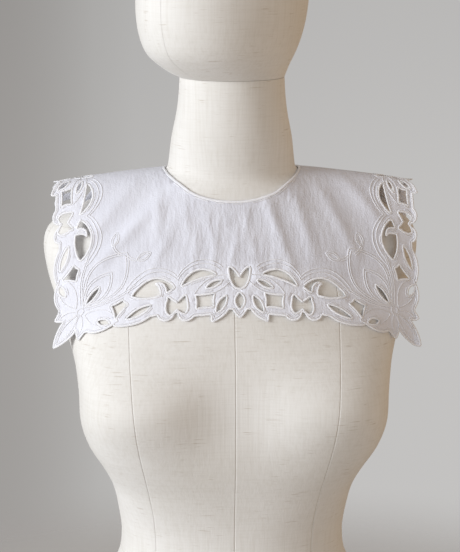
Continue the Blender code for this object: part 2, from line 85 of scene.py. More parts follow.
class Signal:
    """A number inside a material that Python's operators work on."""

    def __init__(self, graph: "Graph", socket: bpy.types.NodeSocket) -> None:
        """Wraps a socket.

        Args:
            graph: The material's graph.
            socket: The output socket that carries the number.
        """
        self.graph = graph
        self.socket = socket

    def math(self, operation: str, first: Any, second: Any = None) -> "Signal":
        """Adds one Math node.

        Args:
            operation: The node's operation.
            first: Its first value or signal.
            second: Its second value or signal, where it has one.

        Returns:
            The node's result.
        """
        values = {0: first} if second is None else {0: first, 1: second}
        return self.graph.signal("ShaderNodeMath", {"operation": operation}, values)

    def __add__(self, other: Any) -> "Signal":
        """The sum."""
        return self.math("ADD", self, other)

    def __radd__(self, other: Any) -> "Signal":
        """The sum with a number on the left."""
        return self.math("ADD", other, self)

    def __sub__(self, other: Any) -> "Signal":
        """The difference."""
        return self.math("SUBTRACT", self, other)

    def __rsub__(self, other: Any) -> "Signal":
        """The difference with a number on the left."""
        return self.math("SUBTRACT", other, self)

    def __mul__(self, other: Any) -> "Signal":
        """The product."""
        return self.math("MULTIPLY", self, other)

    def __truediv__(self, other: Any) -> "Signal":
        """The quotient."""
        return self.math("DIVIDE", self, other)

    def __abs__(self) -> "Signal":
        """The absolute value."""
        return self.math("ABSOLUTE", self)

    def sine(self) -> "Signal":
        """The sine."""
        return self.math("SINE", self)

    def lowest(self, other: Any) -> "Signal":
        """The smaller of two."""
        return self.math("MINIMUM", self, other)

    def between(self, low: float, high: float, start: float = 0.0, end: float = 1.0) -> "Signal":
        """A smooth rise from start to end, as this signal goes from low to high.

        Args:
            low: Where the rise begins.
            high: Where it ends.
            start: The result at and below low.
            end: The result at and above high.

        Returns:
            The risen signal.
        """
        settings = {"interpolation_type": "SMOOTHSTEP"}
        sockets = {"Value": self, "From Min": low, "From Max": high, "To Min": start, "To Max": end}
        return self.graph.signal("ShaderNodeMapRange", settings, sockets)


class Graph:
    """The node graph of one material."""

    def __init__(self, name: str) -> None:
        """Makes the material with a Principled shader.

        Args:
            name: The material's name.
        """
        self.material = bpy.data.materials.new(name)
        self.material.use_nodes = True
        self.tree = self.material.node_tree
        self.shader = self.tree.nodes["Principled BSDF"]

    def node(self, kind: str, settings: Optional[dict[str, Any]] = None,
             sockets: Optional[dict[Any, Any]] = None) -> bpy.types.Node:
        """Adds one node.

        Args:
            kind: The node's type.
            settings: Properties that are set first, or "stops" for a ramp or curve.
            sockets: Values or links of its sockets, by name or number.

        Returns:
            The node.
        """
        made = self.tree.nodes.new(kind)
        for key, value in (settings or {}).items():
            if key == "stops":
                self.set_stops(made, value)
            else:
                setattr(made, key, value)
        for key, value in (sockets or {}).items():
            self.feed(made.inputs[key], value)
        return made

    def set_stops(self, made: bpy.types.Node, stops: Sequence[Point2]) -> None:
        """Puts the points of a float curve.

        Args:
            made: The curve node.
            stops: Its points as x, y pairs from low to high x.
        """
        curve = made.mapping.curves[0]
        curve.points[0].location = stops[0]
        curve.points[-1].location = stops[-1]
        for stop in stops[1:-1]:
            curve.points.new(*stop)
        made.mapping.update()

    def feed(self, socket: bpy.types.NodeSocket, value: Any) -> None:
        """Links a signal to a socket, or sets its value.

        Args:
            socket: The input socket.
            value: A signal, a socket or a plain value.
        """
        if isinstance(value, Signal):
            self.tree.links.new(value.socket, socket)
        elif isinstance(value, bpy.types.NodeSocket):
            self.tree.links.new(value, socket)
        else:
            socket.default_value = value

    def signal(self, kind: str, settings: Optional[dict[str, Any]] = None,
               sockets: Optional[dict[Any, Any]] = None, output: Any = 0) -> Signal:
        """Adds one node and wraps one of its outputs.

        Args:
            kind: The node's type.
            settings: Properties that are set first.
            sockets: Values or links of its sockets.
            output: The output's name or number.

        Returns:
            The wrapped output.
        """
        return Signal(self, self.node(kind, settings, sockets).outputs[output])

    def place(self, stretch: Sequence[float]) -> bpy.types.NodeSocket:
        """Object coordinates, scaled for a pattern.

        Args:
            stretch: The scale along X, Y and Z.

        Returns:
            The scaled vector.
        """
        where = self.node("ShaderNodeTexCoord").outputs["Object"]
        return self.node("ShaderNodeMapping", {}, {"Vector": where, "Scale": tuple(stretch)}).outputs[0]

    def plan(self, stretch: Sequence[float], layer: str) -> bpy.types.NodeSocket:
        """The cloth's flat plan from its UV map, scaled for a pattern.

        Args:
            stretch: The scale along u and v, in patterns a unit of the map.
            layer: The UV map's name.

        Returns:
            The scaled vector.
        """
        where = self.node("ShaderNodeUVMap", {"uv_map": layer}).outputs[0]
        return self.node("ShaderNodeMapping", {}, {"Vector": where,
                                                   "Scale": (stretch[0], stretch[1], 1.0)}).outputs[0]

    def noise(self, vector: bpy.types.NodeSocket, scale: float, detail: float = 2.0) -> Signal:
        """A noise pattern.

        Args:
            vector: Where it is read.
            scale: Its fineness.
            detail: How many finer layers it holds.

        Returns:
            The pattern from 0 to 1.
        """
        return self.signal("ShaderNodeTexNoise", {}, {"Vector": vector, "Scale": scale, "Detail": detail})

    def mixed(self, share: Signal, first: Any, second: Any) -> bpy.types.NodeSocket:
        """A colour between two.

        Args:
            share: 0 for the first colour, 1 for the second.
            first: The first colour or its socket.
            second: The second colour or its socket.

        Returns:
            The mixed colour's socket.
        """
        made = self.node("ShaderNodeMix", {"data_type": "RGBA"}, {0: share})
        self.feed(made.inputs[6], first)
        self.feed(made.inputs[7], second)
        return made.outputs[2]

    def relief(self, height: Signal, depth: float, below: Any = None) -> bpy.types.NodeSocket:
        """A bump layer.

        Args:
            height: The relief's shape from 0 to 1.
            depth: What 1 stands for, in metres.
            below: The normal of the layer under it.

        Returns:
            The bumped normal's socket.
        """
        sockets = {"Height": height, "Distance": depth, "Strength": 1.0}
        if below is not None:
            sockets["Normal"] = below
        return self.node("ShaderNodeBump", {}, sockets).outputs[0]

    def dress(self, **sockets: Any) -> bpy.types.Material:
        """Feeds the shader.

        Args:
            sockets: Values or links by socket name, with underscores for spaces.

        Returns:
            The finished material.
        """
        for name, value in sockets.items():
            self.feed(self.shader.inputs[name.replace("_", " ")], value)
        return self.material


def rgba(colour: Sequence[float]) -> tuple[float, float, float, float]:
    """A colour with full opacity."""
    return (colour[0], colour[1], colour[2], 1.0)


@dataclass(frozen=True)
class CottonFinish:
    """White plain-woven cotton, with fine crinkles down its middle."""

    colour: Row = (0.742, 0.753, 0.828)
    shade: Row = (0.702, 0.711, 0.786)
    border_colour: Row = (0.820, 0.830, 0.900)
    # the border's beginning and end, as shares of the pattern's span: across, then along from its own middle
    border_across: Point2 = (0.285, 0.325)
    border_along: Point2 = (0.262, 0.302)
    border_middle: float = 0.477
    roughness: float = 0.88
    thread: float = 0.00055
    thread_depth: float = 0.00007
    nub_depth: float = 0.00035
    crinkle_depth: float = 0.0018
    uv_span: float = 0.5

    def build(self) -> bpy.types.Material:
        """Makes the material.

        Returns:
            The material.
        """
        graph = Graph("white_cotton")
        per_unit = self.uv_span / self.thread * TURN
        weave_place = graph.node("ShaderNodeSeparateXYZ", {}, {0: graph.plan((per_unit, per_unit), "plan")})
        warp = Signal(graph, weave_place.outputs[0]).sine()
        weft = Signal(graph, weave_place.outputs[1]).sine()
        weave = (warp * 0.25 + weft * 0.25) + 0.5
        slub = graph.noise(graph.plan((240.0, 60.0), "plan"), 1.0, 3.0)
        mottle = graph.noise(graph.plan((22.0, 18.0), "plan"), 1.0, 4.0)
        fine = graph.noise(graph.plan((125.0, 42.0), "plan"), 1.0, 3.0)
        broad = graph.noise(graph.plan((34.0, 12.0), "plan"), 1.0, 2.0)
        nub = graph.noise(graph.plan((330.0, 290.0), "plan"), 1.0, 2.0)
        where = graph.node("ShaderNodeSeparateXYZ", {}, {0: graph.plan((1.0, 1.0), "plan")})
        across = abs(Signal(graph, where.outputs[0]) - 0.5)
        middle = across.between(0.07, 0.34, 1.0, 0.50)
        crinkle = (fine * 0.5 + broad * 0.5) * middle
        along = abs(Signal(graph, where.outputs[1]) - self.border_middle)
        border = (across.between(*self.border_across) + along.between(*self.border_along)).lowest(1.0)
        darkening = mottle.between(0.35, 0.65) * 0.5 + slub * 0.3
        colour = graph.mixed(darkening, rgba(self.colour), rgba(self.shade))
        colour = graph.mixed(border * 0.6, colour, rgba(self.border_colour))
        normal = graph.relief(weave + slub * 0.6, self.thread_depth)
        normal = graph.relief(nub, self.nub_depth, normal)
        normal = graph.relief(crinkle, self.crinkle_depth, normal)
        return graph.dress(Base_Color=colour, Roughness=self.roughness, Normal=normal, Sheen_Weight=0.12,
                           Sheen_Roughness=0.5, Specular_IOR_Level=0.25)


@dataclass(frozen=True)
class SatinFinish:
    """Glossy white thread in close stitches side by side, across the line that it follows, with painted shade in
    the grooves between the stitches.
    """

    colour: Row = (0.950, 0.956, 0.995)
    # the colour of the painted shade in the grooves between stitches, also used for the thread's uneven tone
    shade: Row = (0.875, 0.880, 0.935)
    pitch: float = 0.00060
    depth: float = 0.00016
    slant: float = 0.0
    name: str = "satin_stitch"

    def build(self) -> bpy.types.Material:
        """Makes the material.

        Returns:
            The material.
        """
        graph = Graph(self.name)
        along = graph.signal("ShaderNodeAttribute", {"attribute_name": "along"}, {}, "Fac")
        around = graph.signal("ShaderNodeAttribute", {"attribute_name": "around"}, {}, "Fac")
        stitch = (along * (TURN / self.pitch) + around * (TURN * self.slant)).sine() * 0.5 + 0.5
        uneven = graph.noise(graph.place((900.0, 900.0, 900.0)), 1.0, 2.0)
        # painted shade: where the stitch relief is low, in the grooves, the colour turns towards the shade
        # colour; the noise adds uneven tone
        darkening = stitch.between(0.0, 0.5, 0.55, 0.0) + uneven * 0.15
        colour = graph.mixed(darkening, rgba(self.colour), rgba(self.shade))
        normal = graph.relief(stitch + uneven * 0.4, self.depth)
        return graph.dress(Base_Color=colour, Roughness=0.46, Normal=normal, Sheen_Weight=0.2,
                           Specular_IOR_Level=0.45)


@dataclass(frozen=True)
class LinenFinish:
    """Natural linen stretched over the form, with uneven threads and narrow sewn seams."""

    light: Row = (0.800, 0.788, 0.766)
    dark: Row = (0.705, 0.684, 0.645)
    slub_colour: Row = (0.480, 0.420, 0.345)
    roughness: float = 0.72
    thread: float = 0.0011
    seam_half_width: float = 0.0007
    height_span: float = 0.660
    width_span: float = 0.200
    centre_x: float = -0.0012
    side_y: float = 0.003
    head_turn: float = math.radians(-40.0)
    head_y: float = -0.009
    # height and distance from the middle of the long shaped seams, front and back
    shaped_seam: tuple[Point2, ...] = (
        (0.000, 0.0900), (0.060, 0.0880), (0.110, 0.0840), (0.155, 0.0805), (0.192, 0.0820), (0.218, 0.0860),
        (0.245, 0.0910), (0.276, 0.0970), (0.309, 0.1015), (0.342, 0.1040), (0.394, 0.1060), (0.430, 0.1050),
        (0.470, 0.0980), (0.510, 0.0860), (0.545, 0.0720), (0.600, 0.0700), (0.660, 0.0700),
    )

    def build(self, seamed: bool) -> bpy.types.Material:
        """Makes the material.

        Args:
            seamed: Whether it carries the torso's seams.

        Returns:
            The material.
        """
        graph = Graph("natural_linen_seamed" if seamed else "natural_linen_head")
        fineness = 1.0 / self.thread
        upright = graph.noise(graph.place((fineness * 0.6, fineness * 0.6, 22.0)), 1.0, 2.0)
        level = graph.noise(graph.place((24.0, 24.0, fineness * 0.6)), 1.0, 2.0)
        streak = graph.noise(graph.place((330.0, 330.0, 9.0)), 1.0, 2.0)
        dash = graph.noise(graph.place((46.0, 46.0, 780.0)), 1.0, 1.0)
        patch = graph.noise(graph.place((60.0, 60.0, 60.0)), 1.0, 1.0)
        tone = graph.noise(graph.place((11.0, 11.0, 8.0)), 1.0, 3.0)
        threads = streak.between(0.4, 0.7) * 0.3 + level.between(0.4, 0.7) * 0.2
        share = tone.between(0.35, 0.7) * 0.45 + (threads + upright.between(0.4, 0.7) * 0.15)
        colour = graph.mixed(share, rgba(self.light), rgba(self.dark))
        knots = dash.between(0.60, 0.74) * patch.between(0.50, 0.64)
        colour = graph.mixed(knots * 0.45, colour, rgba(self.slub_colour))
        normal = graph.relief(upright * 0.5 + level * 0.5 + knots * 0.25, 0.00026)
        seam = self.seam(graph) if seamed else self.face_seam(graph)
        colour = graph.mixed(seam * 0.05, colour, rgba(self.slub_colour))
        normal = graph.relief(1.0 - seam, 0.0004, normal)
        return graph.dress(Base_Color=colour, Roughness=self.roughness, Normal=normal, Sheen_Weight=0.1,
                           Specular_IOR_Level=0.30)

    def face_seam(self, graph: Graph) -> Signal:
        """The seam that runs round the head through the middle of the face.

        Args:
            graph: The material's graph.

        Returns:
            1 on the seam and 0 away from it.
        """
        where = graph.node("ShaderNodeSeparateXYZ", {}, {0: graph.place((1.0, 1.0, 1.0))})
        x, y = Signal(graph, where.outputs[0]), Signal(graph, where.outputs[1])
        away = abs(x * math.cos(self.head_turn) + (y - self.head_y) * math.sin(self.head_turn))
        return away.between(self.seam_half_width * 0.3, self.seam_half_width * 1.4, 1.0, 0.0)

    def seam(self, graph: Graph) -> Signal:
        """The seams of the torso.

        Args:
            graph: The material's graph.

        Returns:
            1 on a seam and 0 away from it.
        """
        where = graph.node("ShaderNodeSeparateXYZ", {}, {0: graph.place((1.0, 1.0, 1.0))})
        x, y, z = (Signal(graph, where.outputs[i]) for i in range(3))
        stops = [(h / self.height_span, w / self.width_span) for h, w in self.shaped_seam]
        reach = graph.signal("ShaderNodeFloatCurve", {"stops": stops}, {"Value": z / self.height_span})
        shaped = abs(abs(x - self.centre_x) - reach * self.width_span)
        middle = abs(x - self.centre_x)
        sides = abs(y - self.side_y) + abs(x).between(0.04, 0.05, 1.0, 0.0)
        near = shaped.lowest(middle).lowest(sides)
        neck = z.between(0.500, 0.503, 0.0, 1.0)
        return (near + neck).between(self.seam_half_width * 0.3, self.seam_half_width * 1.4, 1.0, 0.0)


@dataclass(frozen=True)
class ShellFinish:
    """A polished shell button."""

    colour: Row = (0.860, 0.840, 0.790)
    sheen_colour: Row = (0.800, 0.860, 0.840)

    def build(self) -> bpy.types.Material:
        """Makes the material.

        Returns:
            The material.
        """
        graph = Graph("shell_button")
        cloud = graph.noise(graph.place((260.0, 420.0, 180.0)), 1.0, 3.0)
        layer = graph.noise(graph.place((900.0, 300.0, 700.0)), 1.0, 1.0)
        colour = graph.mixed(cloud.between(0.4, 0.65), rgba(self.colour), rgba(self.sheen_colour))
        return graph.dress(Base_Color=colour, Roughness=layer.between(0.3, 0.7, 0.14, 0.26), Coat_Weight=0.5)


@dataclass(frozen=True)
class FloorFinish:
    """The plain pale studio floor."""

    colour: Row = (0.56, 0.55, 0.545)
    solid_radius: float = 0.26
    clear_radius: float = 0.72

    def build(self) -> bpy.types.Material:
        """Makes the material, which fades away towards the floor's rim.

        Returns:
            The material.
        """
        graph = Graph("studio_floor")
        tone = graph.noise(graph.place((2.0, 2.0, 2.0)), 1.0, 2.0)
        darker = tuple(0.96 * c for c in self.colour)
        where = graph.node("ShaderNodeTexCoord").outputs["Object"]
        away = graph.signal("ShaderNodeVectorMath", {"operation": "LENGTH"}, {0: where}, "Value")
        return graph.dress(Base_Color=graph.mixed(tone, rgba(self.colour), rgba(darker)), Roughness=0.9,
                           Alpha=away.between(self.solid_radius, self.clear_radius, 1.0, 0.0))


def blend(table: Sequence[Row], place: float) -> list[float]:
    """One row of a table, read between its rows along a smooth curve that is level at the first row.

    Args:
        table: Rows that start with their place.
        place: Where the row is read.

    Returns:
        The row without its place.
    """
    last = len(table) - 1
    low = next((i for i in range(last) if place <= table[i + 1][0]), last - 1)
    slopes = []
    for i in (low, low + 1):
        before, after = table[max(i - 1, 0)], table[min(i + 1, last)]
        width = after[0] - before[0]
        slopes.append([0.0 if i == 0 else (q - p) / width for p, q in zip(before[1:], after[1:])])
    span = table[low + 1][0] - table[low][0]
    t = min(1.0, (place - table[low][0]) / span)
    ends = zip(table[low][1:], table[low + 1][1:], *slopes)
    return [(1.0 + 2.0 * t) * (1.0 - t) ** 2 * p + t * t * (3.0 - 2.0 * t) * q
            + t * (1.0 - t) ** 2 * span * m - t * t * (1.0 - t) * span * n for p, q, m, n in ends]


def spline_through(points: Sequence[Row], place: float) -> list[float]:
    """A row between rows, on a smooth curve through them all.

    Args:
        points: Rows in order, of which the first value is the place.
        place: Where the row is read.

    Returns:
        The row without its place.
    """
    last = len(points) - 1
    low = next((i for i in range(last) if place <= points[i + 1][0]), last - 1)
    span = points[low + 1][0] - points[low][0]
    t = max(0.0, min(1.0, (place - points[low][0]) / span))
    slopes = []
    for i in (low, low + 1):
        before, after = points[max(i - 1, 0)], points[min(i + 1, last)]
        slopes.append([(q - p) / (after[0] - before[0]) for p, q in zip(before[1:], after[1:])])
    ends = zip(points[low][1:], points[low + 1][1:], *slopes)
    return [(1.0 + 2.0 * t) * (1.0 - t) ** 2 * p + t * t * (3.0 - 2.0 * t) * q
            + t * (1.0 - t) ** 2 * span * m - t * t * (1.0 - t) * span * n for p, q, m, n in ends]


def loft_mesh(name: str, rings: Sequence[Sequence[Row]]) -> bpy.types.Mesh:
    """A closed body through rings of points, with both ends filled.

    Args:
        name: The mesh's name.
        rings: Rings from the lowest to the highest, each counter-clockwise from above.

    Returns:
        The mesh.
    """
    bm = bmesh.new()
    rows = [[bm.verts.new(p) for p in ring] for ring in rings]
    count = len(rings[0])
    for low, high in zip(rows[:-1], rows[1:]):
        for i in range(count):
            j = (i + 1) % count
            bm.faces.new((low[i], low[j], high[j], high[i]))
    bm.faces.new(list(reversed(rows[0])))
    bm.faces.new(rows[-1])
    mesh = bpy.data.meshes.new(name)
    bm.to_mesh(mesh)
    bm.free()
    mesh.shade_smooth()
    mesh.set_sharp_from_angle(angle=math.radians(50.0))
    return mesh


def superellipse(half_x: float, half_y: float, squareness: float, sides: int) -> Outline:
    """Points of a superellipse, counter-clockwise from +X.

    Args:
        half_x: Half its width.
        half_y: Half its depth.
        squareness: 2 for an ellipse, more for a squarer ring.
        sides: How many points.

    Returns:
        The points.
    """
    ring = []
    for i in range(sides):
        c, s = math.cos(TURN * i / sides), math.sin(TURN * i / sides)
        ring.append((math.copysign(abs(c) ** (2.0 / squareness), c) * half_x,
                     math.copysign(abs(s) ** (2.0 / squareness), s) * half_y))
    return ring


@dataclass
class DressForm:
    """The limbless torso with its neck, and the plain head on it."""

    body_sides: int = 128
    body_rows: int = 110
    head_sides: int = 112
    head_rows: int = 56
    head_turn: float = math.radians(-40.0)
    head_y: float = -0.009
    joint_gap: float = 0.0003
    # height, half width, half depth, centre in y, squareness of the section
    sections: tuple[Row, ...] = (
        (0.0000, 0.1600, 0.1140, 0.0040, 2.30), (0.0300, 0.1620, 0.1160, 0.0040, 2.30),
        (0.0700, 0.1550, 0.1120, 0.0040, 2.25), (0.1050, 0.1380, 0.1020, 0.0030, 2.20),
        (0.1350, 0.1215, 0.0920, 0.0020, 2.15), (0.1620, 0.1175, 0.0870, 0.0010, 2.15),
        (0.1900, 0.1205, 0.0880, -0.0010, 2.15), (0.2200, 0.1265, 0.0930, -0.0040, 2.15),
        (0.2450, 0.1370, 0.0990, -0.0070, 2.15), (0.2700, 0.1510, 0.1040, -0.0090, 2.15),
        (0.2950, 0.1585, 0.1070, -0.0100, 2.15), (0.3250, 0.1600, 0.1090, -0.0090, 2.15),
        (0.3550, 0.1640, 0.1080, -0.0050, 2.15), (0.3850, 0.1730, 0.1040, 0.0020, 2.10),
        (0.4100, 0.1815, 0.1010, 0.0070, 2.05), (0.4350, 0.1900, 0.0970, 0.0120, 2.00),
        (0.4600, 0.1950, 0.0910, 0.0160, 2.00), (0.4750, 0.1950, 0.0870, 0.0180, 2.00),
        (0.4880, 0.1900, 0.0840, 0.0190, 2.00), (0.4980, 0.1780, 0.0800, 0.0180, 2.00),
        (0.5080, 0.1600, 0.0760, 0.0170, 2.00), (0.5180, 0.1390, 0.0720, 0.0160, 2.00),
        (0.5270, 0.1190, 0.0680, 0.0145, 2.00), (0.5350, 0.0970, 0.0645, 0.0120, 2.00),
        (0.5410, 0.0780, 0.0602, 0.0100, 2.00), (0.5470, 0.0680, 0.0574, 0.0080, 2.00),
        (0.5540, 0.0655, 0.0565, 0.0060, 2.00), (0.5660, 0.0640, 0.0560, 0.0035, 2.00),
        (0.5830, 0.0618, 0.0550, -0.0005, 2.00), (0.6060, 0.0572, 0.0535, -0.0045, 2.00),
        (0.6240, 0.0548, 0.0525, -0.0070, 2.00), (0.6440, 0.0535, 0.0525, -0.0090, 2.00),
    )
    # height and squareness of the section's front half
    front_squareness: tuple[Row, ...] = (
        (0.0000, 2.30), (0.1350, 2.20), (0.1830, 2.40), (0.2240, 3.00), (0.2550, 3.80), (0.3150, 4.00),
        (0.3450, 3.80), (0.3850, 3.00), (0.4100, 2.40), (0.4350, 2.00), (0.6440, 2.00),
    )
    bust_swell: float = 0.0184
    hollow_depth: float = 0.0264
    hollow_width: float = 0.064
    bust_z: float = 0.315
    bust_height: float = 0.042
    # height above the neck joint, half length along the face, half width, centre along the face
    head_sections: tuple[Row, ...] = (
        (0.0000, 0.0540, 0.0530, 0.0000), (0.0050, 0.0620, 0.0570, 0.0060), (0.0130, 0.0720, 0.0620, 0.0120),
        (0.0240, 0.0825, 0.0690, 0.0170), (0.0380, 0.0900, 0.0745, 0.0180), (0.0580, 0.0960, 0.0785, 0.0170),
        (0.0820, 0.0985, 0.0800, 0.0150), (0.1080, 0.0965, 0.0785, 0.0120), (0.1340, 0.0900, 0.0740, 0.0090),
        (0.1580, 0.0785, 0.0655, 0.0060), (0.1770, 0.0625, 0.0530, 0.0040), (0.1900, 0.0430, 0.0370, 0.0020),
        (0.1970, 0.0210, 0.0180, 0.0010), (0.1995, 0.0060, 0.0050, 0.0000),
    )
    surface: Optional[BVHTree] = None

    def body_ring(self, z: float) -> list[Row]:
        """One section of the torso, with its squarer front half, the bust and the hollow in its middle.

        Args:
            z: The section's height.

        Returns:
            Its points, counter-clockwise from above.
        """
        half_x, half_y, centre_y, squareness = spline_through(self.sections, z)
        bust = math.exp(-((z - self.bust_z) / self.bust_height) ** 2)
        heights, values = zip(*self.front_squareness)
        front = superellipse(half_x, half_y + self.bust_swell * bust, float(np.interp(z, heights, values)),
                             self.body_sides)
        back = superellipse(half_x, half_y, squareness, self.body_sides)
        ring = []
        for (x, y), (back_x, back_y) in zip(front, back):
            if y < 0.0:
                hollow = self.hollow_depth * bust * math.exp(-(x / self.hollow_width) ** 2)
                ring.append((x, centre_y + y + hollow, z))
            else:
                ring.append((back_x, centre_y + back_y, z))
        return ring

    def body_mesh(self) -> bpy.types.Mesh:
        """The torso and neck as one smooth closed body.

        Returns:
            The mesh.
        """
        top = self.sections[-1][0]
        rings = [self.body_ring(top * i / self.body_rows) for i in range(self.body_rows + 1)]
        return loft_mesh("torso_linen", rings)

    def head_mesh(self) -> bpy.types.Mesh:
        """The plain head, turned to the viewer's left.

        Returns:
            The mesh.
        """
        base = self.sections[-1][0] + self.joint_gap
        top = self.head_sections[-1][0]
        cos_t, sin_t = math.cos(self.head_turn), math.sin(self.head_turn)
        rings = []
        for i in range(self.head_rows + 1):
            rise = top * (0.5 - 0.5 * math.cos(math.pi * i / self.head_rows))
            half_long, half_wide, centre = spline_through(self.head_sections, rise)
            ring = []
            for x, y in superellipse(half_wide, half_long, 2.0, self.head_sides):
                y -= centre
                ring.append((x * cos_t - y * sin_t, self.head_y + x * sin_t + y * cos_t, base + rise))
            rings.append(ring)
        return loft_mesh("head_linen", rings)

    def build(self, finish: LinenFinish) -> list[bpy.types.Object]:
        """Makes both pieces in place of their solids.

        Args:
            finish: The linen.

        Returns:
            The torso and the head.
        """
        made = []
        parts = ((self.body_mesh(), "form_body", True), (self.head_mesh(), "form_head", False))
        for mesh, node, seamed in parts:
            mesh.materials.append(finish.build(seamed))
            piece = add_piece(mesh)
            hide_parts(node)
            made.append(piece)
        body = made[0].data
        self.surface = BVHTree.FromPolygons([v.co for v in body.vertices],
                                            [p.vertices for p in body.polygons])
        return made


def add_piece(mesh: bpy.types.Mesh) -> bpy.types.Object:
    """Puts a finished mesh into the scene as a piece of the object.

    Args:
        mesh: The mesh, in its place.

    Returns:
        The piece.
    """
    piece = bpy.data.objects.new(mesh.name, mesh)
    bpy.context.scene.collection.objects.link(piece)
    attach(piece, "root")
    LOG.info("%s: %d faces", piece.name, len(mesh.polygons))
    return piece


@dataclass
class CollarPlan:
    """The collar's flat plan: the square with its neck hole, leaves, gaps and stitched lines.

    Border rows hold half of one side: a is the distance along the side from its middle and b the distance
    out from the plan's centre. Each is mirrored in its side and repeated on all four sides.
    """

    pattern_shift: float = 0.004
    centre_v: float = -0.005
    length_cut: float = 0.012
    corner_place: float = 0.1685
    neck_half_width: float = 0.0700
    neck_half_depth: float = 0.0660
    neck_centre_v: float = -0.003
    neck_squareness: float = 2.15
    neck_points: int = 260
    slit_width: float = 0.0024
    outline_step: float = 0.0013
    leaf_points: int = 22
    base_corner: tuple[Point2, ...] = ((0.1640, 0.1900), (0.1730, 0.1830), (0.1790, 0.1790))
    # start a, start b, end a, end b, width
    slits: tuple[Row, ...] = (
        (0.0185, 0.1605, 0.0345, 0.1675, 0.0050),
        (0.0140, 0.1765, 0.0245, 0.1925, 0.0068),
        (0.0920, 0.1785, 0.1165, 0.1880, 0.0064),
        (0.1335, 0.1890, 0.1465, 0.1825, 0.0056),
    )
    # start a, start b, end a, end b, rise of the outer arc, rise of the inner arc
    crescents: tuple[Row, ...] = (
        (0.0240, 0.1545, 0.0600, 0.1635, 0.0100, 0.0015),
        (0.0675, 0.1635, 0.1110, 0.1650, 0.0125, -0.0065),
    )
    quads: tuple[tuple[Point2, ...], ...] = (
        ((0.0265, 0.1735), (0.0455, 0.1745), (0.0450, 0.1875), (0.0275, 0.1870)),
        ((0.1150, 0.1725), (0.1205, 0.1670), (0.1320, 0.1705), (0.1275, 0.1850)),
    )
    tulip_centre: Point2 = (0.0655, 0.1800)
    tulip_half: tuple[Point2, ...] = (
        (0.0000, 0.0000), (0.0045, -0.0035), (0.0090, -0.0068), (0.0106, -0.0010),
        (0.0110, 0.0065), (0.0080, 0.0112), (0.0040, 0.0098), (0.0000, 0.0062),
    )
    heart_centre: Point2 = (0.0, 0.1580)
    heart_half: tuple[Point2, ...] = (
        (0.0000, 0.0000), (0.0050, -0.0070), (0.0105, -0.0105),
        (0.0095, 0.0000), (0.0055, 0.0085), (0.0000, 0.0110),
    )
    centre_slit: Row = (0.0, 0.1735, 0.0, 0.1895, 0.0092)
    corner_slit: Row = (0.1455, 0.1455, 0.1605, 0.1605, 0.0056)
    hem_leaves: tuple[Row, ...] = (
        (0.0000, 0.1660, 0.0000, 0.1985, 0.0195),
        (0.0080, 0.1680, 0.0295, 0.2020, 0.0175),
        (0.0780, 0.1710, 0.1300, 0.1920, 0.0250),
        (0.1240, 0.1870, 0.1700, 0.1780, 0.0235),
        (0.1590, 0.1650, 0.1700, 0.1950, 0.0155),
    )
    hem_bar: Row = (0.0270, 0.1910, 0.0500, 0.1915, 0.0078)
    tulip_horn: tuple[Point2, ...] = (
        (0.0872, 0.1566), (0.0840, 0.1605), (0.0822, 0.1680), (0.0835, 0.1780),
        (0.0755, 0.1780), (0.0752, 0.1690), (0.0766, 0.1615), (0.0806, 0.1570),
    )
    lobes: tuple[Row, ...] = ((0.0555, 0.1900, 0.0093), (0.0770, 0.1880, 0.0090))
    corner_leaf: Row = (0.1620, 0.1620, 0.1985, 0.1985, 0.0185)
    # stitched arches above the border's gaps: start a, start b, end a, end b, rise
    arches: tuple[Row, ...] = (
        (0.0195, 0.1500, 0.0640, 0.1570, 0.0112),
        (0.0175, 0.1470, 0.0640, 0.1535, 0.0118),
        (0.0640, 0.1570, 0.1160, 0.1610, 0.0140),
        (0.0640, 0.1535, 0.1185, 0.1585, 0.0150),
    )
    # stitched leaf outlines: start a, start b, end a, end b, width
    petals: tuple[Row, ...] = (
        (0.0060, 0.1560, 0.0470, 0.1730, 0.0150),
        (0.1620, 0.1715, 0.1250, 0.1885, 0.0165),
        (0.1672, 0.1700, 0.1698, 0.1905, 0.0080),
        (0.1056, 0.1288, 0.0905, 0.1245, 0.0085),
        (0.1040, 0.1283, 0.0925, 0.1250, 0.0045),
    )
    # the corner flower's leaves on the diagonal: start place, end place, width
    corner_petals: tuple[Row, ...] = (
        (0.1637, 0.1320, 0.0250), (0.1615, 0.1343, 0.0200),
        (0.1625, 0.1150, 0.0430), (0.1600, 0.1172, 0.0385),
        (0.1700, 0.1940, 0.0090),
    )
    flower_core: Row = (0.1668, 0.1668, 0.0036)
    # double stitched stems: points as a, b pairs
    stems: tuple[tuple[Point2, ...], ...] = (
        ((0.1075, 0.1545), (0.1185, 0.1595), (0.1300, 0.1635), (0.1430, 0.1655), (0.1600, 0.1655)),
        ((0.1056, 0.1288), (0.1110, 0.1262), (0.1160, 0.1215)),
    )
    stem_spread: float = 0.0010
    line_inset: float = 0.0027

    def on_side(self, side: Side, a: float, b: float) -> Point2:
        """A border point put on one of the four sides."""
        shorter = (self.corner_place - self.length_cut) / self.corner_place
        places = {
            Side.FRONT: (a, b - self.length_cut),
            Side.RIGHT: (b, -a * shorter),
            Side.BACK: (-a, self.length_cut - b),
            Side.LEFT: (-b, a * shorter),
        }
        across, down = places[side]
        return (across + self.pattern_shift, down + self.centre_v)

    def almond(self, row: Row) -> Outline:
        """A pointed leaf.

        Args:
            row: Start a, start b, end a, end b and width.

        Returns:
            Its closed outline.
        """
        start_a, start_b, end_a, end_b, width = row
        ax, ay = end_a - start_a, end_b - start_b
        length = math.hypot(ax, ay)
        nx, ny = -ay / length, ax / length
        outline = []
        for way in (1.0, -1.0):
            for i in range(self.leaf_points):
                t = i / self.leaf_points if way > 0 else 1.0 - i / self.leaf_points
                bulge = way * width / 2.0 * math.sin(math.pi * t) ** 0.8
                outline.append((start_a + ax * t + nx * bulge, start_b + ay * t + ny * bulge))
        return outline

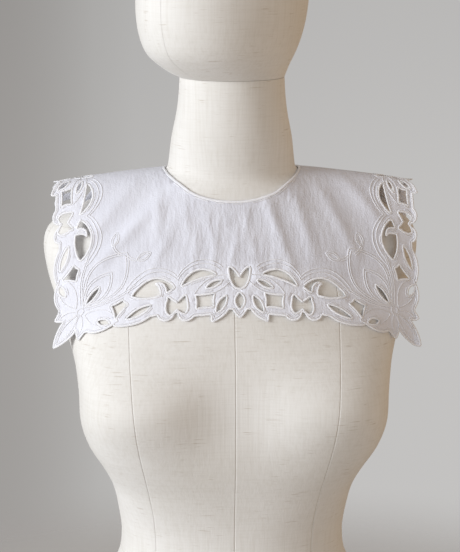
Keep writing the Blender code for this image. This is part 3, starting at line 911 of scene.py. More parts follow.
    def arc(self, row: Row, power: float = 0.75) -> Outline:
        """An arc that rises towards the plan's centre.

        Args:
            row: Start a, start b, end a, end b and rise.
            power: How full it is near its ends.

        Returns:
            Its points from start to end.
        """
        start_a, start_b, end_a, end_b, rise = row
        ax, ay = end_a - start_a, end_b - start_b
        length = math.hypot(ax, ay)
        nx, ny = ay / length, -ax / length
        count = self.leaf_points
        points = []
        for i in range(count + 1):
            t = i / count
            bulge = rise * math.sin(math.pi * min(t, 1.0)) ** power if 0 < i < count else 0.0
            points.append((start_a + ax * t + nx * bulge, start_b + ay * t + ny * bulge))
        return points

    def crescent(self, row: Row) -> Outline:
        """A gap between two arcs with the same ends, as a closed outline."""
        outer = self.arc((*row[:4], row[4]))
        inner = self.arc((*row[:4], row[5]))
        return outer[:-1] + list(reversed(inner))[:-1]

    def flowing(self, points: Sequence[Point2], closed: bool) -> Outline:
        """A smooth line through points.

        Args:
            points: The points in order.
            closed: Whether it runs back to its start.

        Returns:
            The line's points.
        """
        count = len(points)
        line = []
        for i in range(count if closed else count - 1):
            p0 = points[(i - 1) % count] if closed or i else points[0]
            p1, p2 = points[i], points[(i + 1) % count]
            p3 = points[(i + 2) % count] if closed or i + 2 < count else points[-1]
            for k in range(6):
                t = k / 6.0
                line.append(tuple(
                    0.5 * (2.0 * p1[j] + (p2[j] - p0[j]) * t
                           + (2.0 * p0[j] - 5.0 * p1[j] + 4.0 * p2[j] - p3[j]) * t * t
                           + (3.0 * p1[j] - p0[j] - 3.0 * p2[j] + p3[j]) * t ** 3) for j in range(2)))
        return line if closed else line + [points[-1]]

    def mirrored(self, centre: Point2, half: Sequence[Point2]) -> Outline:
        """An outline that is the same on both sides of its middle line.

        Args:
            centre: The point that the half is measured from.
            half: One side, from its start on the middle line to its end there.

        Returns:
            The closed outline.
        """
        line = self.flowing(half, False)
        right = [(centre[0] + a, centre[1] + b) for a, b in line]
        left = [(centre[0] - a, centre[1] + b) for a, b in line[1:-1]]
        return right + list(reversed(left))

    def quad(self, corners: Sequence[Point2]) -> Outline:
        """A four-cornered gap, with edges that bow a little inwards."""
        middle = (sum(p[0] for p in corners) / 4.0, sum(p[1] for p in corners) / 4.0)
        outline = []
        for (a0, b0), (a1, b1) in zip(corners, list(corners[1:]) + [corners[0]]):
            for k in range(6):
                t = k / 6.0
                bow = 0.10 * math.sin(math.pi * t)
                a, b = a0 + (a1 - a0) * t, b0 + (b1 - b0) * t
                outline.append((a + (middle[0] - a) * bow, b + (middle[1] - b) * bow))
        return outline

    def bar(self, row: Row) -> Outline:
        """A straight strip, from start a, start b, end a, end b and width."""
        start_a, start_b, end_a, end_b, width = row
        ax, ay = end_a - start_a, end_b - start_b
        length = math.hypot(ax, ay)
        nx, ny = -ay / length * width / 2.0, ax / length * width / 2.0
        return [(start_a + nx, start_b + ny), (start_a - nx, start_b - ny),
                (end_a - nx, end_b - ny), (end_a + nx, end_b + ny)]

    def disc(self, row: Row) -> Outline:
        """A round lobe, from centre a, centre b and radius."""
        return [(row[0] + row[2] * math.cos(TURN * i / 40), row[1] + row[2] * math.sin(TURN * i / 40))
                for i in range(40)]

    def half_and_mirror(self, outlines: Sequence[Outline]) -> list[Outline]:
        """The outlines of a half side, with their mirrored ones."""
        return list(outlines) + [[(-a, b) for a, b in outline] for outline in outlines]

    def neck_outline(self, inset: float) -> Outline:
        """The neck hole's edge, moved inwards, from the middle of the back and round.

        Args:
            inset: How far inside the edge the line runs.

        Returns:
            Its points.
        """
        outline = []
        for i in range(self.neck_points):
            angle = -math.pi / 2.0 + TURN * i / self.neck_points
            c, s = math.cos(angle), math.sin(angle)
            u = math.copysign(abs(c) ** (2.0 / self.neck_squareness), c) * (self.neck_half_width - inset)
            v = math.copysign(abs(s) ** (2.0 / self.neck_squareness), s) * (self.neck_half_depth - inset)
            outline.append((u, v + self.neck_centre_v))
        return outline

    def shapes(self) -> list[tuple[bool, Outline]]:
        """Every painted shape of the plan. A later one hides what lies under it.

        Returns:
            Pairs of whether the shape is cloth, and its outline.
        """
        corner = [(-a, b) for a, b in reversed(self.base_corner[:-1])] + list(self.base_corner)
        square = [self.on_side(side, a, b) for side in Side for a, b in corner]
        shapes = [(True, divided(square, 0.003))]
        leaves = [self.almond(row) for row in self.hem_leaves] + [self.bar(self.hem_bar)]
        leaves += [self.disc(row) for row in self.lobes]
        gaps = [self.almond(row) for row in self.slits] + [self.crescent(row) for row in self.crescents]
        gaps += [self.quad(corners) for corners in self.quads]
        gaps += [self.mirrored(self.tulip_centre, self.tulip_half)]
        horn = [self.flowing(self.tulip_horn, True)]
        middle = [self.mirrored(self.heart_centre, self.heart_half), self.almond(self.centre_slit)]
        for side in Side:
            for outline in self.half_and_mirror(leaves) + [self.almond(self.corner_leaf)]:
                shapes.append((True, [self.on_side(side, a, b) for a, b in outline]))
        for side in Side:
            in_middle = [] if side is Side.BACK else middle
            for outline in self.half_and_mirror(gaps) + in_middle + [self.almond(self.corner_slit)]:
                shapes.append((False, [self.on_side(side, a, b) for a, b in outline]))
            for outline in self.half_and_mirror(horn):
                shapes.append((True, [self.on_side(side, a, b) for a, b in outline]))
        shapes.append((False, self.neck_outline(0.0)))
        half = self.slit_width / 2.0
        shapes.append((False, divided([(-half, -0.30), (half, -0.30), (half, -0.05), (-half, -0.05)], 0.004)))
        return shapes

    def stitched_lines(self) -> list[tuple[Outline, bool]]:
        """The embroidered lines on the cloth, apart from its edges.

        Returns:
            Pairs of the line in the plan, and whether it is closed.
        """
        lines = []
        closed = [self.almond(row) for row in self.petals]
        open_lines = [self.arc(row) for row in self.arches]
        open_lines += [moved_aside(self.flowing(stem, False), way * self.stem_spread)
                       for stem in self.stems for way in (-1.0, 1.0)]
        corner = [self.almond((start, start, end, end, width)) for start, end, width in self.corner_petals]
        corner.append(self.disc(self.flower_core))
        for side in Side:
            for outline in self.half_and_mirror(closed) + corner:
                lines.append(([self.on_side(side, a, b) for a, b in outline], True))
            for outline in self.half_and_mirror(open_lines):
                lines.append(([self.on_side(side, a, b) for a, b in outline], False))
        return lines


def moved_aside(line: Sequence[Point2], offset: float) -> Outline:
    """An open line moved to its left.

    Args:
        line: The line's points.
        offset: How far it is moved.

    Returns:
        The moved line.
    """
    moved = []
    for i, (u, v) in enumerate(line):
        (u0, v0), (u1, v1) = line[max(i - 1, 0)], line[min(i + 1, len(line) - 1)]
        length = math.hypot(u1 - u0, v1 - v0)
        moved.append((u - (v1 - v0) / length * offset, v + (u1 - u0) / length * offset))
    return moved


def divided(outline: Sequence[Point2], longest: float) -> Outline:
    """A closed outline with points added on its long edges.

    Args:
        outline: The outline.
        longest: The longest edge allowed.

    Returns:
        The outline with the added points.
    """
    result = []
    for (u0, v0), (u1, v1) in zip(outline, list(outline[1:]) + [outline[0]]):
        parts = max(1, math.ceil(math.hypot(u1 - u0, v1 - v0) / longest))
        result += [(u0 + (u1 - u0) * i / parts, v0 + (v1 - v0) * i / parts) for i in range(parts)]
    return result


def even_steps(line: Sequence[Point2], step: float, closed: bool) -> Outline:
    """A line with its points spaced evenly.

    Args:
        line: The line's points.
        step: The wanted spacing.
        closed: Whether it runs back to its start.

    Returns:
        The evenly spaced points.
    """
    path = np.array(list(line) + ([line[0]] if closed else []))
    spans = np.hypot(*np.diff(path, axis=0).T)
    reach = np.concatenate([[0.0], np.cumsum(spans)])
    count = max(4, int(round(reach[-1] / step)))
    places = np.linspace(0.0, reach[-1], count + 1)[:count if closed else count + 1]
    return [(float(np.interp(s, reach, path[:, 0])), float(np.interp(s, reach, path[:, 1]))) for s in places]


def signed_area(outline: Sequence[Point2]) -> float:
    """Twice the outline's area, positive where its inside lies on its left."""
    return sum(u0 * v1 - u1 * v0 for (u0, v0), (u1, v1) in zip(outline, list(outline[1:]) + [outline[0]]))


@dataclass
class Drape:
    """How the flat plan turns over the shoulders."""

    ridge_z: float = 0.5495
    ridge_y: float = 0.004
    side_pull: float = 0.05
    pull_length: float = 0.180
    march_step: float = 0.003
    tuck_start: float = 0.140
    tuck_end: float = 0.195
    tuck_reach: float = 0.150
    tuck_depth: float = 0.011
    # u, drop of the ridge, turn in degrees, length of the turn, sharpness of the turn, slope at the ridge
    front: tuple[Row, ...] = (
        (0.000, 0.000, 66.0, 0.050, 2.00, 6.0),
        (0.070, 0.001, 71.0, 0.040, 1.40, 0.0),
        (0.120, 0.0055, 75.0, 0.034, 1.15, 0.0),
        (0.160, 0.0105, 76.0, 0.027, 1.10, 0.0),
        (0.195, 0.0150, 79.0, 0.020, 1.10, 0.0),
    )
    back: tuple[Row, ...] = (
        (0.000, 0.000, 86.0, 0.082, 2.00, 0.0),
        (0.070, 0.001, 88.0, 0.083, 1.80, 0.0),
        (0.120, 0.0055, 86.0, 0.062, 1.50, 0.0),
        (0.160, 0.0105, 82.0, 0.052, 1.30, 0.0),
        (0.195, 0.0150, 82.0, 0.046, 1.20, 0.0),
    )
    # soft folds: start u, start v, end u, end v, half width, height
    folds: tuple[Row, ...] = (
        (-0.100, 0.030, -0.150, 0.080, 0.0090, 0.0022),
        (-0.082, 0.062, -0.138, 0.104, 0.0075, 0.0030),
        (-0.074, 0.048, -0.080, 0.094, 0.0060, 0.0022),
        (-0.060, 0.078, -0.088, 0.128, 0.0055, 0.0016),
        (-0.052, 0.062, -0.046, 0.100, 0.0042, 0.0013),
        (-0.038, 0.088, -0.044, 0.132, 0.0036, 0.0012),
        (-0.030, 0.068, -0.023, 0.106, 0.0030, 0.0011),
        (-0.017, 0.084, -0.024, 0.134, 0.0030, 0.0012),
        (-0.009, 0.066, -0.004, 0.096, 0.0026, 0.0010),
        (0.003, 0.090, -0.005, 0.138, 0.0030, 0.0013),
        (0.014, 0.067, 0.010, 0.104, 0.0028, 0.0011),
        (0.017, 0.100, 0.024, 0.142, 0.0032, 0.0012),
        (0.032, 0.060, 0.058, 0.128, 0.0058, 0.0026),
        (0.044, 0.108, 0.040, 0.140, 0.0034, 0.0010),
        (0.060, 0.050, 0.082, 0.112, 0.0066, 0.0018),
        (0.088, 0.040, 0.126, 0.102, 0.0085, 0.0024),
        (0.112, 0.020, 0.158, 0.070, 0.0080, 0.0020),
        (-0.080, -0.050, -0.130, -0.120, 0.0090, 0.0020),
        (-0.050, -0.090, -0.060, -0.150, 0.0055, 0.0014),
        (-0.022, -0.100, -0.026, -0.160, 0.0035, 0.0010),
        (0.022, -0.095, 0.020, -0.155, 0.0035, 0.0011),
        (0.048, -0.085, 0.062, -0.150, 0.0060, 0.0016),
        (0.085, -0.050, 0.138, -0.118, 0.0090, 0.0018),
    )

    def point(self, u: float, v: float) -> Vector:
        """The point in space of a point of the plan, before it is laid on the form."""
        table = self.front if v >= 0.0 else self.back
        forward = -1.0 if v >= 0.0 else 1.0
        drop, turn, length, sharpness, start = blend(table, abs(u))
        run = abs(v)
        steps = max(1, math.ceil(run / self.march_step))
        step = run / steps
        y, z = 0.0, 0.0
        for i in range(steps):
            along = (i + 0.5) * step
            angle = math.radians(start + turn * (1.0 - math.exp(-((along / length) ** sharpness))))
            y += step * math.cos(angle)
            z -= step * math.sin(angle)
        x = u * (1.0 - self.side_pull * min(1.0, run / self.pull_length))
        over = max(0.0, (abs(u) - self.tuck_start) / (self.tuck_end - self.tuck_start))
        near = max(0.0, 1.0 - (v / self.tuck_reach) ** 2)
        tuck = self.tuck_depth * over ** 1.5 * near ** 2
        return Vector((x - math.copysign(tuck, u), self.ridge_y + forward * y, self.ridge_z - drop + z))

    def fold_height(self, places: np.ndarray) -> np.ndarray:
        """How far the soft folds lift the cloth.

        Args:
            places: Plan places, one row each.

        Returns:
            The lift of each place.
        """
        lift = np.zeros(len(places))
        for u0, v0, u1, v1, half_width, height in self.folds:
            start, along = np.array((u0, v0)), np.array((u1 - u0, v1 - v0))
            share = ((places - start) @ along) / (along @ along)
            inside = np.clip(share, 0.0, 1.0)
            away = np.hypot(*(places - start - inside[:, None] * along).T)
            fade = np.clip(1.0 - np.abs(share - 0.5) * 1.25, 0.0, 1.0)
            lift += height * np.exp(-((away / half_width) ** 2)) * np.sqrt(fade)
        return lift


@dataclass
class CollarCloth:
    """The cloth of the collar, from its flat plan to the finished shell."""

    plan: CollarPlan = field(default_factory=CollarPlan)
    drape: Drape = field(default_factory=Drape)
    wall: float = 0.0008
    rest_gap: float = 0.0010
    face_dip: float = 0.0003
    grid_step: float = 0.0030
    edge_margin: float = 0.0013
    reach: float = 0.205
    merge_distance: float = 0.00005
    easing_rounds: int = 14
    uv_span: float = 0.5
    places: np.ndarray = field(default_factory=lambda: np.zeros((0, 2)))
    triangles: list[tuple[int, int, int]] = field(default_factory=list)
    points: list[Vector] = field(default_factory=list)
    normals: list[Vector] = field(default_factory=list)
    loops: list[Outline] = field(default_factory=list)
    lookup: Optional[BVHTree] = None

    def cut(self, shapes: Sequence[tuple[bool, Outline]], extra: Sequence[Point2]) \
            -> tuple[list[Point2], list[tuple[int, int, int]]]:
        """Triangulates painted shapes.

        Args:
            shapes: Pairs of whether the shape is cloth, and its outline.
            extra: Free points inside the cloth.

        Returns:
            The places, and the triangles that are cloth.
        """
        turned = [(is_cloth, outline if signed_area(outline) > 0.0 else list(reversed(outline)))
                  for is_cloth, outline in shapes]
        places, faces = [], []
        for _, outline in turned:
            faces.append(list(range(len(places), len(places) + len(outline))))
            places += outline
        places += extra
        flat = [Vector(p) for p in places]
        found, _, tris, _, _, origins = delaunay_2d_cdt(flat, [], faces, 0, self.merge_distance)
        cloth = [tuple(tri) for tri, painted in zip(tris, origins) if painted and turned[max(painted)][0]]
        return [(p.x, p.y) for p in found], cloth

    def rims(self, places: Sequence[Point2], cloth: Sequence[tuple[int, int, int]]) -> list[Outline]:
        """The closed edges of the largest connected area.

        Args:
            places: The places.
            cloth: The triangles.

        Returns:
            The outer edge first, then the gaps.
        """
        kept = largest_area(without_pinches(cloth), places)
        directed = {(tri[i], tri[(i + 1) % 3]) for tri in kept for i in range(3)}
        follow = {a: b for a, b in directed if (b, a) not in directed}
        loops = []
        while follow:
            first, nxt = next(iter(sorted(follow.items())))
            loop = [first]
            del follow[first]
            while nxt != first:
                loop.append(nxt)
                nxt = follow.pop(nxt)
            loops.append([places[i] for i in loop])
        return sorted(loops, key=lambda loop: -abs(signed_area(loop)))

    def grid(self, loops: Sequence[Outline]) -> list[Point2]:
        """Free points inside the cloth, clear of every edge.

        Args:
            loops: The cloth's edges.

        Returns:
            The points.
        """
        starts = np.array([p for loop in loops for p in loop])
        near = BVHTree.FromPolygons(
            [(p[0], p[1], 0.0) for p in starts],
            [tuple(i + s for i in (0, 1, 0)) for s in range(len(starts) - 1)], all_triangles=True)
        points = []
        rows = int(2 * self.reach / (self.grid_step * 0.866))
        columns = int(2 * self.reach / self.grid_step)
        for r in range(rows):
            v = -self.reach + r * self.grid_step * 0.866
            for c in range(columns):
                u = -self.reach + (c + 0.5 * (r % 2)) * self.grid_step
                if near.find_nearest((u, v, 0.0), self.edge_margin)[0] is None:
                    points.append((u, v))
        return points

    def lay_out(self) -> None:
        """Draws the flat plan and keeps its places, triangles and edges."""
        places, cloth = self.cut(self.plan.shapes(), [])
        loops = [loop for loop in self.rims(places, cloth) if abs(signed_area(loop)) > 4e-6]
        step = self.plan.outline_step
        self.loops = [tidy_loop(loop, step * 0.35) for loop in loops]
        self.loops = [divided(loop, step * 1.3) for loop in self.loops]
        shapes = [(number == 0, loop) for number, loop in enumerate(self.loops)]
        places, cloth = self.cut(shapes, self.grid(self.loops))
        cloth = largest_area(without_pinches(cloth), places)
        used = sorted({i for tri in cloth for i in tri})
        slot = {i: n for n, i in enumerate(used)}
        self.places = np.array([places[i] for i in used])
        self.triangles = [(slot[a], slot[c], slot[b]) for a, b, c in cloth]

    def lay(self, form: BVHTree) -> None:
        """Bends the plan over the shoulders, lays it clear of the form and adds its soft folds.

        Args:
            form: The form's surface.
        """
        clear = self.rest_gap + self.wall / 2.0
        bent = [self.drape.point(float(u), float(v)) for u, v in self.places]
        shift = np.array([rest_on(p, form, clear) - p for p in bent])
        edges = np.array(sorted({tuple(sorted((t[i], t[(i + 1) % 3])))
                                 for t in self.triangles for i in range(3)}))
        for _ in range(self.easing_rounds):
            total, count = shift.copy(), np.ones(len(shift))
            for near, far in ((0, 1), (1, 0)):
                np.add.at(total, edges[:, near], shift[edges[:, far]])
                np.add.at(count, edges[:, near], 1.0)
            shift = total / count[:, None]
        points = np.array(bent) + shift
        normals = vertex_normals(points, self.triangles)
        points += normals * self.drape.fold_height(self.places)[:, None]
        self.points = [rest_on(Vector(p), form, clear) for p in points]
        for tri in self.triangles:
            middle = sum((self.points[i] for i in tri), Vector()) / 3.0
            near, normal, _, _ = form.find_nearest(middle)
            short = clear - self.face_dip - (middle - near).dot(normal)
            if short > 0.0:
                for i in tri:
                    self.points[i] = self.points[i] + normal * short
        self.normals = [Vector(n) for n in vertex_normals(np.array(self.points), self.triangles)]
        self.lookup = BVHTree.FromPolygons([(u, v, 0.0) for u, v in self.places], self.triangles,
                                           all_triangles=True)

    def at(self, u: float, v: float, height: float) -> tuple[Vector, Vector]:
        """The point over the cloth at a place of the plan.

        Args:
            u: Place across.
            v: Place down the front.
            height: Height over the cloth's middle surface.

        Returns:
            The point and the outward normal.
        """
        near, _, face, _ = self.lookup.find_nearest((u, v, 0.0))
        a, b, c = self.triangles[face]
        (u0, v0), (u1, v1), (u2, v2) = self.places[a], self.places[b], self.places[c]
        whole = (u1 - u0) * (v2 - v0) - (u2 - u0) * (v1 - v0)
        share_b = ((near.x - u0) * (v2 - v0) - (u2 - u0) * (near.y - v0)) / whole
        share_c = ((u1 - u0) * (near.y - v0) - (near.x - u0) * (v1 - v0)) / whole
        share_a = 1.0 - share_b - share_c
        point = self.points[a] * share_a + self.points[b] * share_b + self.points[c] * share_c
        normal = self.normals[a] * share_a + self.normals[b] * share_b + self.normals[c] * share_c
        normal.normalize()
        return point + normal * height, normal

    def build(self, form: BVHTree, finish: CottonFinish) -> bpy.types.Object:
        """Makes the cloth in place of its three solids.

        Args:
            form: The form's surface.
            finish: The cotton.

        Returns:
            The cloth.
        """
        self.lay_out()
        self.lay(form)
        mesh = bpy.data.meshes.new("collar_cloth")
        mesh.from_pydata([tuple(p) for p in self.points], [], self.triangles)
        layer = mesh.uv_layers.new(name="plan")
        corner = np.zeros(len(mesh.loops), dtype=np.int32)
        mesh.loops.foreach_get("vertex_index", corner)
        layer.data.foreach_set("uv", (self.places[corner] / self.uv_span + 0.5).ravel())
        mesh.shade_smooth()
        mesh.materials.append(finish.build())
        cloth = add_piece(mesh)
        shell = cloth.modifiers.new("wall", "SOLIDIFY")
        shell.thickness = self.wall
        shell.offset = 0.0
        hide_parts("collar_front", "collar_back_left", "collar_back_right")
        return cloth

    def flat_area(self) -> float:
        """The cut cloth's flat area in square metres."""
        p = self.places
        t = np.array(self.triangles)
        e0, e1 = p[t[:, 1]] - p[t[:, 0]], p[t[:, 2]] - p[t[:, 0]]
        return float(np.abs(e0[:, 0] * e1[:, 1] - e0[:, 1] * e1[:, 0]).sum() / 2.0)


def rest_on(point: Vector, form: BVHTree, clearance: float) -> Vector:
    """The point moved out of the form's surface to the clearance, where it is nearer than that."""
    near, normal, _, _ = form.find_nearest(point)
    if (point - near).dot(normal) < clearance:
        return near + normal * clearance
    return point


def vertex_normals(points: np.ndarray, triangles: Sequence[tuple[int, int, int]]) -> np.ndarray:
    """The unit normals of a mesh's points.

    Args:
        points: The points.
        triangles: The faces.

    Returns:
        One normal for each point.
    """
    t = np.array(triangles)
    face = np.cross(points[t[:, 1]] - points[t[:, 0]], points[t[:, 2]] - points[t[:, 0]])
    normals = np.zeros_like(points)
    for k in range(3):
        np.add.at(normals, t[:, k], face)
    return normals / np.maximum(np.linalg.norm(normals, axis=1), 1e-12)[:, None]


def tidy_loop(loop: Sequence[Point2], closest: float) -> Outline:
    """A loop without points that nearly touch the one before."""
    kept = [loop[0]]
    for point in loop[1:]:
        if math.hypot(point[0] - kept[-1][0], point[1] - kept[-1][1]) > closest:
            kept.append(point)
    return kept


def without_pinches(triangles: Sequence[tuple[int, int, int]]) -> list[tuple[int, int, int]]:
    """The triangles less the smaller side of each place where two areas meet at a single point.

    Args:
        triangles: The triangles.

    Returns:
        The triangles that stay.
    """
    kept = set(triangles)
    while True:
        around: dict[int, list[tuple[int, int, int]]] = {}
        for tri in sorted(kept):
            for vertex in tri:
                around.setdefault(vertex, []).append(tri)
        drop = set()
        for vertex, tris in around.items():
            groups: list[tuple[set[int], list[tuple[int, int, int]]]] = []
            for tri in tris:
                ends = set(tri) - {vertex}
                joined = [g for g in groups if g[0] & ends]
                groups = [g for g in groups if not g[0] & ends]
                groups.append((set.union(ends, *[g[0] for g in joined]), sum([g[1] for g in joined], [tri])))
            for _, group in sorted(groups, key=lambda g: len(g[1]))[:-1]:
                drop.update(group)
        if not drop:
            return sorted(kept)
        kept -= drop


def largest_area(triangles: Sequence[tuple[int, int, int]], places: Sequence[Point2]) \
        -> list[tuple[int, int, int]]:
    """The triangles of the connected area that is largest.

    Args:
        triangles: The triangles.
        places: The places of their corners.

    Returns:
        The triangles that stay.
    """
    owner: dict[int, list[int]] = {}
    for number, tri in enumerate(triangles):
        for vertex in tri:
            owner.setdefault(vertex, []).append(number)
    seen, best, best_area = set(), [], 0.0
    for first in range(len(triangles)):
        if first in seen:
            continue
        group, stack = [], [first]
        seen.add(first)
        while stack:
            number = stack.pop()
            group.append(number)
            for vertex in triangles[number]:
                for other in owner[vertex]:
                    if other not in seen:
                        seen.add(other)
                        stack.append(other)
        area = sum(abs(signed_area([places[i] for i in triangles[n]])) for n in group)
        if area > best_area:
            best, best_area = group, area
    return [triangles[n] for n in best]


class CordTree:
    """A Geometry Nodes tree that sweeps a rounded thread along the lines of a guide mesh."""

    def __init__(self) -> None:
        """Builds the tree with its named inputs."""
        self.tree = bpy.data.node_groups.new("thread_along_lines", "GeometryNodeTree")
        self.tree.interface.new_socket("Geometry", in_out="INPUT", socket_type="NodeSocketGeometry")
        self.ids: dict[str, str] = {}
        for name, kind in (("Half Width", "NodeSocketFloat"), ("Half Height", "NodeSocketFloat"),
                           ("Sides", "NodeSocketInt"), ("Finish", "NodeSocketMaterial")):
            item = self.tree.interface.new_socket(name, in_out="INPUT", socket_type=kind)
            self.ids[name] = item.identifier
        self.tree.interface.new_socket("Geometry", in_out="OUTPUT", socket_type="NodeSocketGeometry")
        start = self.add("NodeGroupInput")
        lines = self.add("GeometryNodeMeshToCurve", {}, {"Mesh": start.outputs["Geometry"]})
        outward = self.add("GeometryNodeInputNamedAttribute", {"data_type": "FLOAT_VECTOR"},
                           {"Name": "outward"})
        level = self.add("GeometryNodeSetCurveNormal", {"mode": "FREE"},
                         {"Curve": lines.outputs[0], "Normal": outward.outputs[0]})
        along = self.add("GeometryNodeSplineParameter")
        marked = self.add("GeometryNodeStoreNamedAttribute", {"data_type": "FLOAT", "domain": "POINT"},
                          {"Geometry": level.outputs[0], "Name": "along", "Value": along.outputs["Length"]})
        ring = self.add("GeometryNodeCurvePrimitiveCircle", {}, {"Resolution": start.outputs["Sides"],
                                                                 "Radius": 1.0})
        around = self.add("GeometryNodeSplineParameter")
        ring_marked = self.add("GeometryNodeStoreNamedAttribute", {"data_type": "FLOAT", "domain": "POINT"},
                               {"Geometry": ring.outputs[0], "Name": "around", "Value": around.outputs["Factor"]})
        size = self.add("ShaderNodeCombineXYZ", {}, {"X": start.outputs["Half Height"],
                                                     "Y": start.outputs["Half Width"], "Z": 1.0})
        profile = self.add("GeometryNodeTransform", {}, {"Geometry": ring_marked.outputs[0],
                                                         "Scale": size.outputs[0]})
        swept = self.add("GeometryNodeCurveToMesh", {}, {"Curve": marked.outputs[0],
                                                         "Profile Curve": profile.outputs[0], "Fill Caps": True})
        rounded = self.add("GeometryNodeSetShadeSmooth", {}, {"Geometry": swept.outputs[0]})
        real = self.add("GeometryNodeRealizeInstances", {}, {"Geometry": rounded.outputs[0]})
        dressed = self.add("GeometryNodeSetMaterial", {}, {"Geometry": real.outputs[0],
                                                           "Material": start.outputs["Finish"]})
        end = self.add("NodeGroupOutput")
        self.tree.links.new(dressed.outputs[0], end.inputs[0])

    def add(self, kind: str, settings: Optional[dict[str, Any]] = None,
            sockets: Optional[dict[str, Any]] = None) -> bpy.types.Node:
        """Adds one node.

        Args:
            kind: The node's type.
            settings: Properties that are set first.
            sockets: Values or links of its sockets by name.

        Returns:
            The node.
        """
        made = self.tree.nodes.new(kind)
        for key, value in (settings or {}).items():
            setattr(made, key, value)
        for key, value in (sockets or {}).items():
            if isinstance(value, bpy.types.NodeSocket):
                self.tree.links.new(value, made.inputs[key])
            else:
                made.inputs[key].default_value = value
        return made

    def sweep(self, name: str, lines: Sequence[tuple[list[tuple[Vector, Vector]], bool]], half_width: float,
              half_height: float, sides: int, finish: bpy.types.Material) -> bpy.types.Mesh:
        """Sweeps the thread.

        Args:
            name: The mesh's name.
            lines: Pairs of points with their outward normals, and whether the line is closed.
            half_width: Half the thread's width along the surface.
            half_height: Half its height off the surface.
            sides: How many faces go round it.
            finish: Its material.

        Returns:
            The plain mesh.
        """
        verts, edges, outward = [], [], []
        for line, closed in lines:
            first = len(verts)
            verts += [tuple(p) for p, _ in line]
            outward += [tuple(n) for _, n in line]
            edges += [(first + i, first + i + 1) for i in range(len(line) - 1)]
            if closed:
                edges.append((first + len(line) - 1, first))
        guide = bpy.data.meshes.new(name + "_guide")
        guide.from_pydata(verts, edges, [])
        layer = guide.attributes.new("outward", "FLOAT_VECTOR", "POINT")
        layer.data.foreach_set("vector", np.array(outward).ravel())
        holder = bpy.data.objects.new(name + "_guide", guide)
        bpy.context.scene.collection.objects.link(holder)
        modifier = holder.modifiers.new("thread", "NODES")
        modifier.node_group = self.tree
        for key, value in (("Half Width", half_width), ("Half Height", half_height), ("Sides", sides),
                           ("Finish", finish)):
            modifier[self.ids[key]] = value
        graph = bpy.context.evaluated_depsgraph_get()
        mesh = bpy.data.meshes.new_from_object(holder.evaluated_get(graph), depsgraph=graph)
        mesh.name = name
        bpy.data.objects.remove(holder, do_unlink=True)
        bpy.data.meshes.remove(guide)
        return mesh


@dataclass
class Embroidery:
    """The satin-stitched edges and the stem-stitched lines on the cloth."""

    cloth: CollarCloth
    tree: CordTree
    edge_half_width: float = 0.00120
    edge_half_height: float = 0.00058
    edge_sides: int = 8
    edge_inset: float = 0.00060
    line_half_width: float = 0.00064
    line_half_height: float = 0.00048
    line_sides: int = 6
    step: float = 0.0014
    shortest: int = 5

    def set_in(self, loop: Outline, inset: float) -> Outline:
        """An edge of the cloth, moved in from the cut.

        Args:
            loop: The edge, with the cloth on its left.
            inset: How far it is moved.

        Returns:
            The moved edge with even steps.
        """
        points = even_steps(loop, self.step, True)
        moved = []
        for (u0, v0), (u1, v1), (u2, v2) in zip([points[-1]] + points[:-1], points, points[1:] + [points[0]]):
            length = math.hypot(u2 - u0, v2 - v0) or 1.0
            moved.append((u1 - (v2 - v0) / length * inset, v1 + (u2 - u0) / length * inset))
        return moved

    def edge_lines(self) -> list[tuple[list[tuple[Vector, Vector]], bool]]:
        """Every cut edge of the border, and the hem, set in a little from the cut."""
        height = self.cloth.wall / 2.0
        return [([self.cloth.at(u, v, height) for u, v in self.set_in(loop, self.edge_inset)], True)
                for loop in self.cloth.loops]

    def parallel_lines(self) -> list[tuple[list[tuple[Vector, Vector]], bool]]:
        """The second line inside every edge, wherever the strip of cloth is wide enough for it."""
        inset = self.cloth.plan.line_inset
        rim = [p for loop in self.cloth.loops for p in even_steps(loop, self.step, True)]
        near = BVHTree.FromPolygons([(u, v, 0.0) for u, v in rim],
                                    [(i, i + 1, i) for i in range(len(rim) - 1)],
                                    all_triangles=True)
        lines = []
        for loop in self.cloth.loops:
            run: list[tuple[Vector, Vector]] = []
            for u, v in self.set_in(loop, inset):
                if near.find_nearest((u, v, 0.0), inset * 0.9)[0] is None:
                    run.append(self.cloth.at(u, v, self.cloth.wall / 2.0))
                else:
                    lines.append((run, False))
                    run = []
            lines.append((run, False))
        return [(run, closed) for run, closed in lines if len(run) >= self.shortest]

    def inner_lines(self) -> list[tuple[list[tuple[Vector, Vector]], bool]]:
        """Every stitched line on the cloth, without the stretches that cross a gap."""
        lines = []
        for outline, closed in self.cloth.plan.stitched_lines():
            points = even_steps(outline, self.step, closed)
            points = points + [points[0]] if closed else points
            run: list[tuple[Vector, Vector]] = []
            for u, v in points:
                near, _, _, _ = self.cloth.lookup.find_nearest((u, v, 0.0))
                if math.hypot(near.x - u, near.y - v) < 1e-5:
                    run.append(self.cloth.at(u, v, self.cloth.wall / 2.0))
                else:
                    lines.append((run, False))
                    run = []
            lines.append((run, False))
        return [(run, closed) for run, closed in lines if len(run) >= self.shortest]

    def build(self) -> list[bpy.types.Object]:
        """Makes the edge stitching, the line stitching and the lines that run beside the edges.

        Returns:
            The three pieces.
        """
        satin = SatinFinish().build()
        stem = SatinFinish(colour=(0.860, 0.862, 0.905), shade=(0.760, 0.762, 0.812), pitch=0.0016,
                           depth=0.00018, slant=1.0, name="stem_stitch").build()
        edge = self.tree.sweep("satin_edges", self.edge_lines(), self.edge_half_width,
                               self.edge_half_height, self.edge_sides, satin)
        line = self.tree.sweep("stem_lines", self.inner_lines(), self.line_half_width,
                               self.line_half_height, self.line_sides, stem)
        second = self.tree.sweep("parallel_lines", self.parallel_lines(), self.line_half_width,
                                 self.line_half_height, self.line_sides, stem)
        return [add_piece(mesh) for mesh in (edge, line, second)]


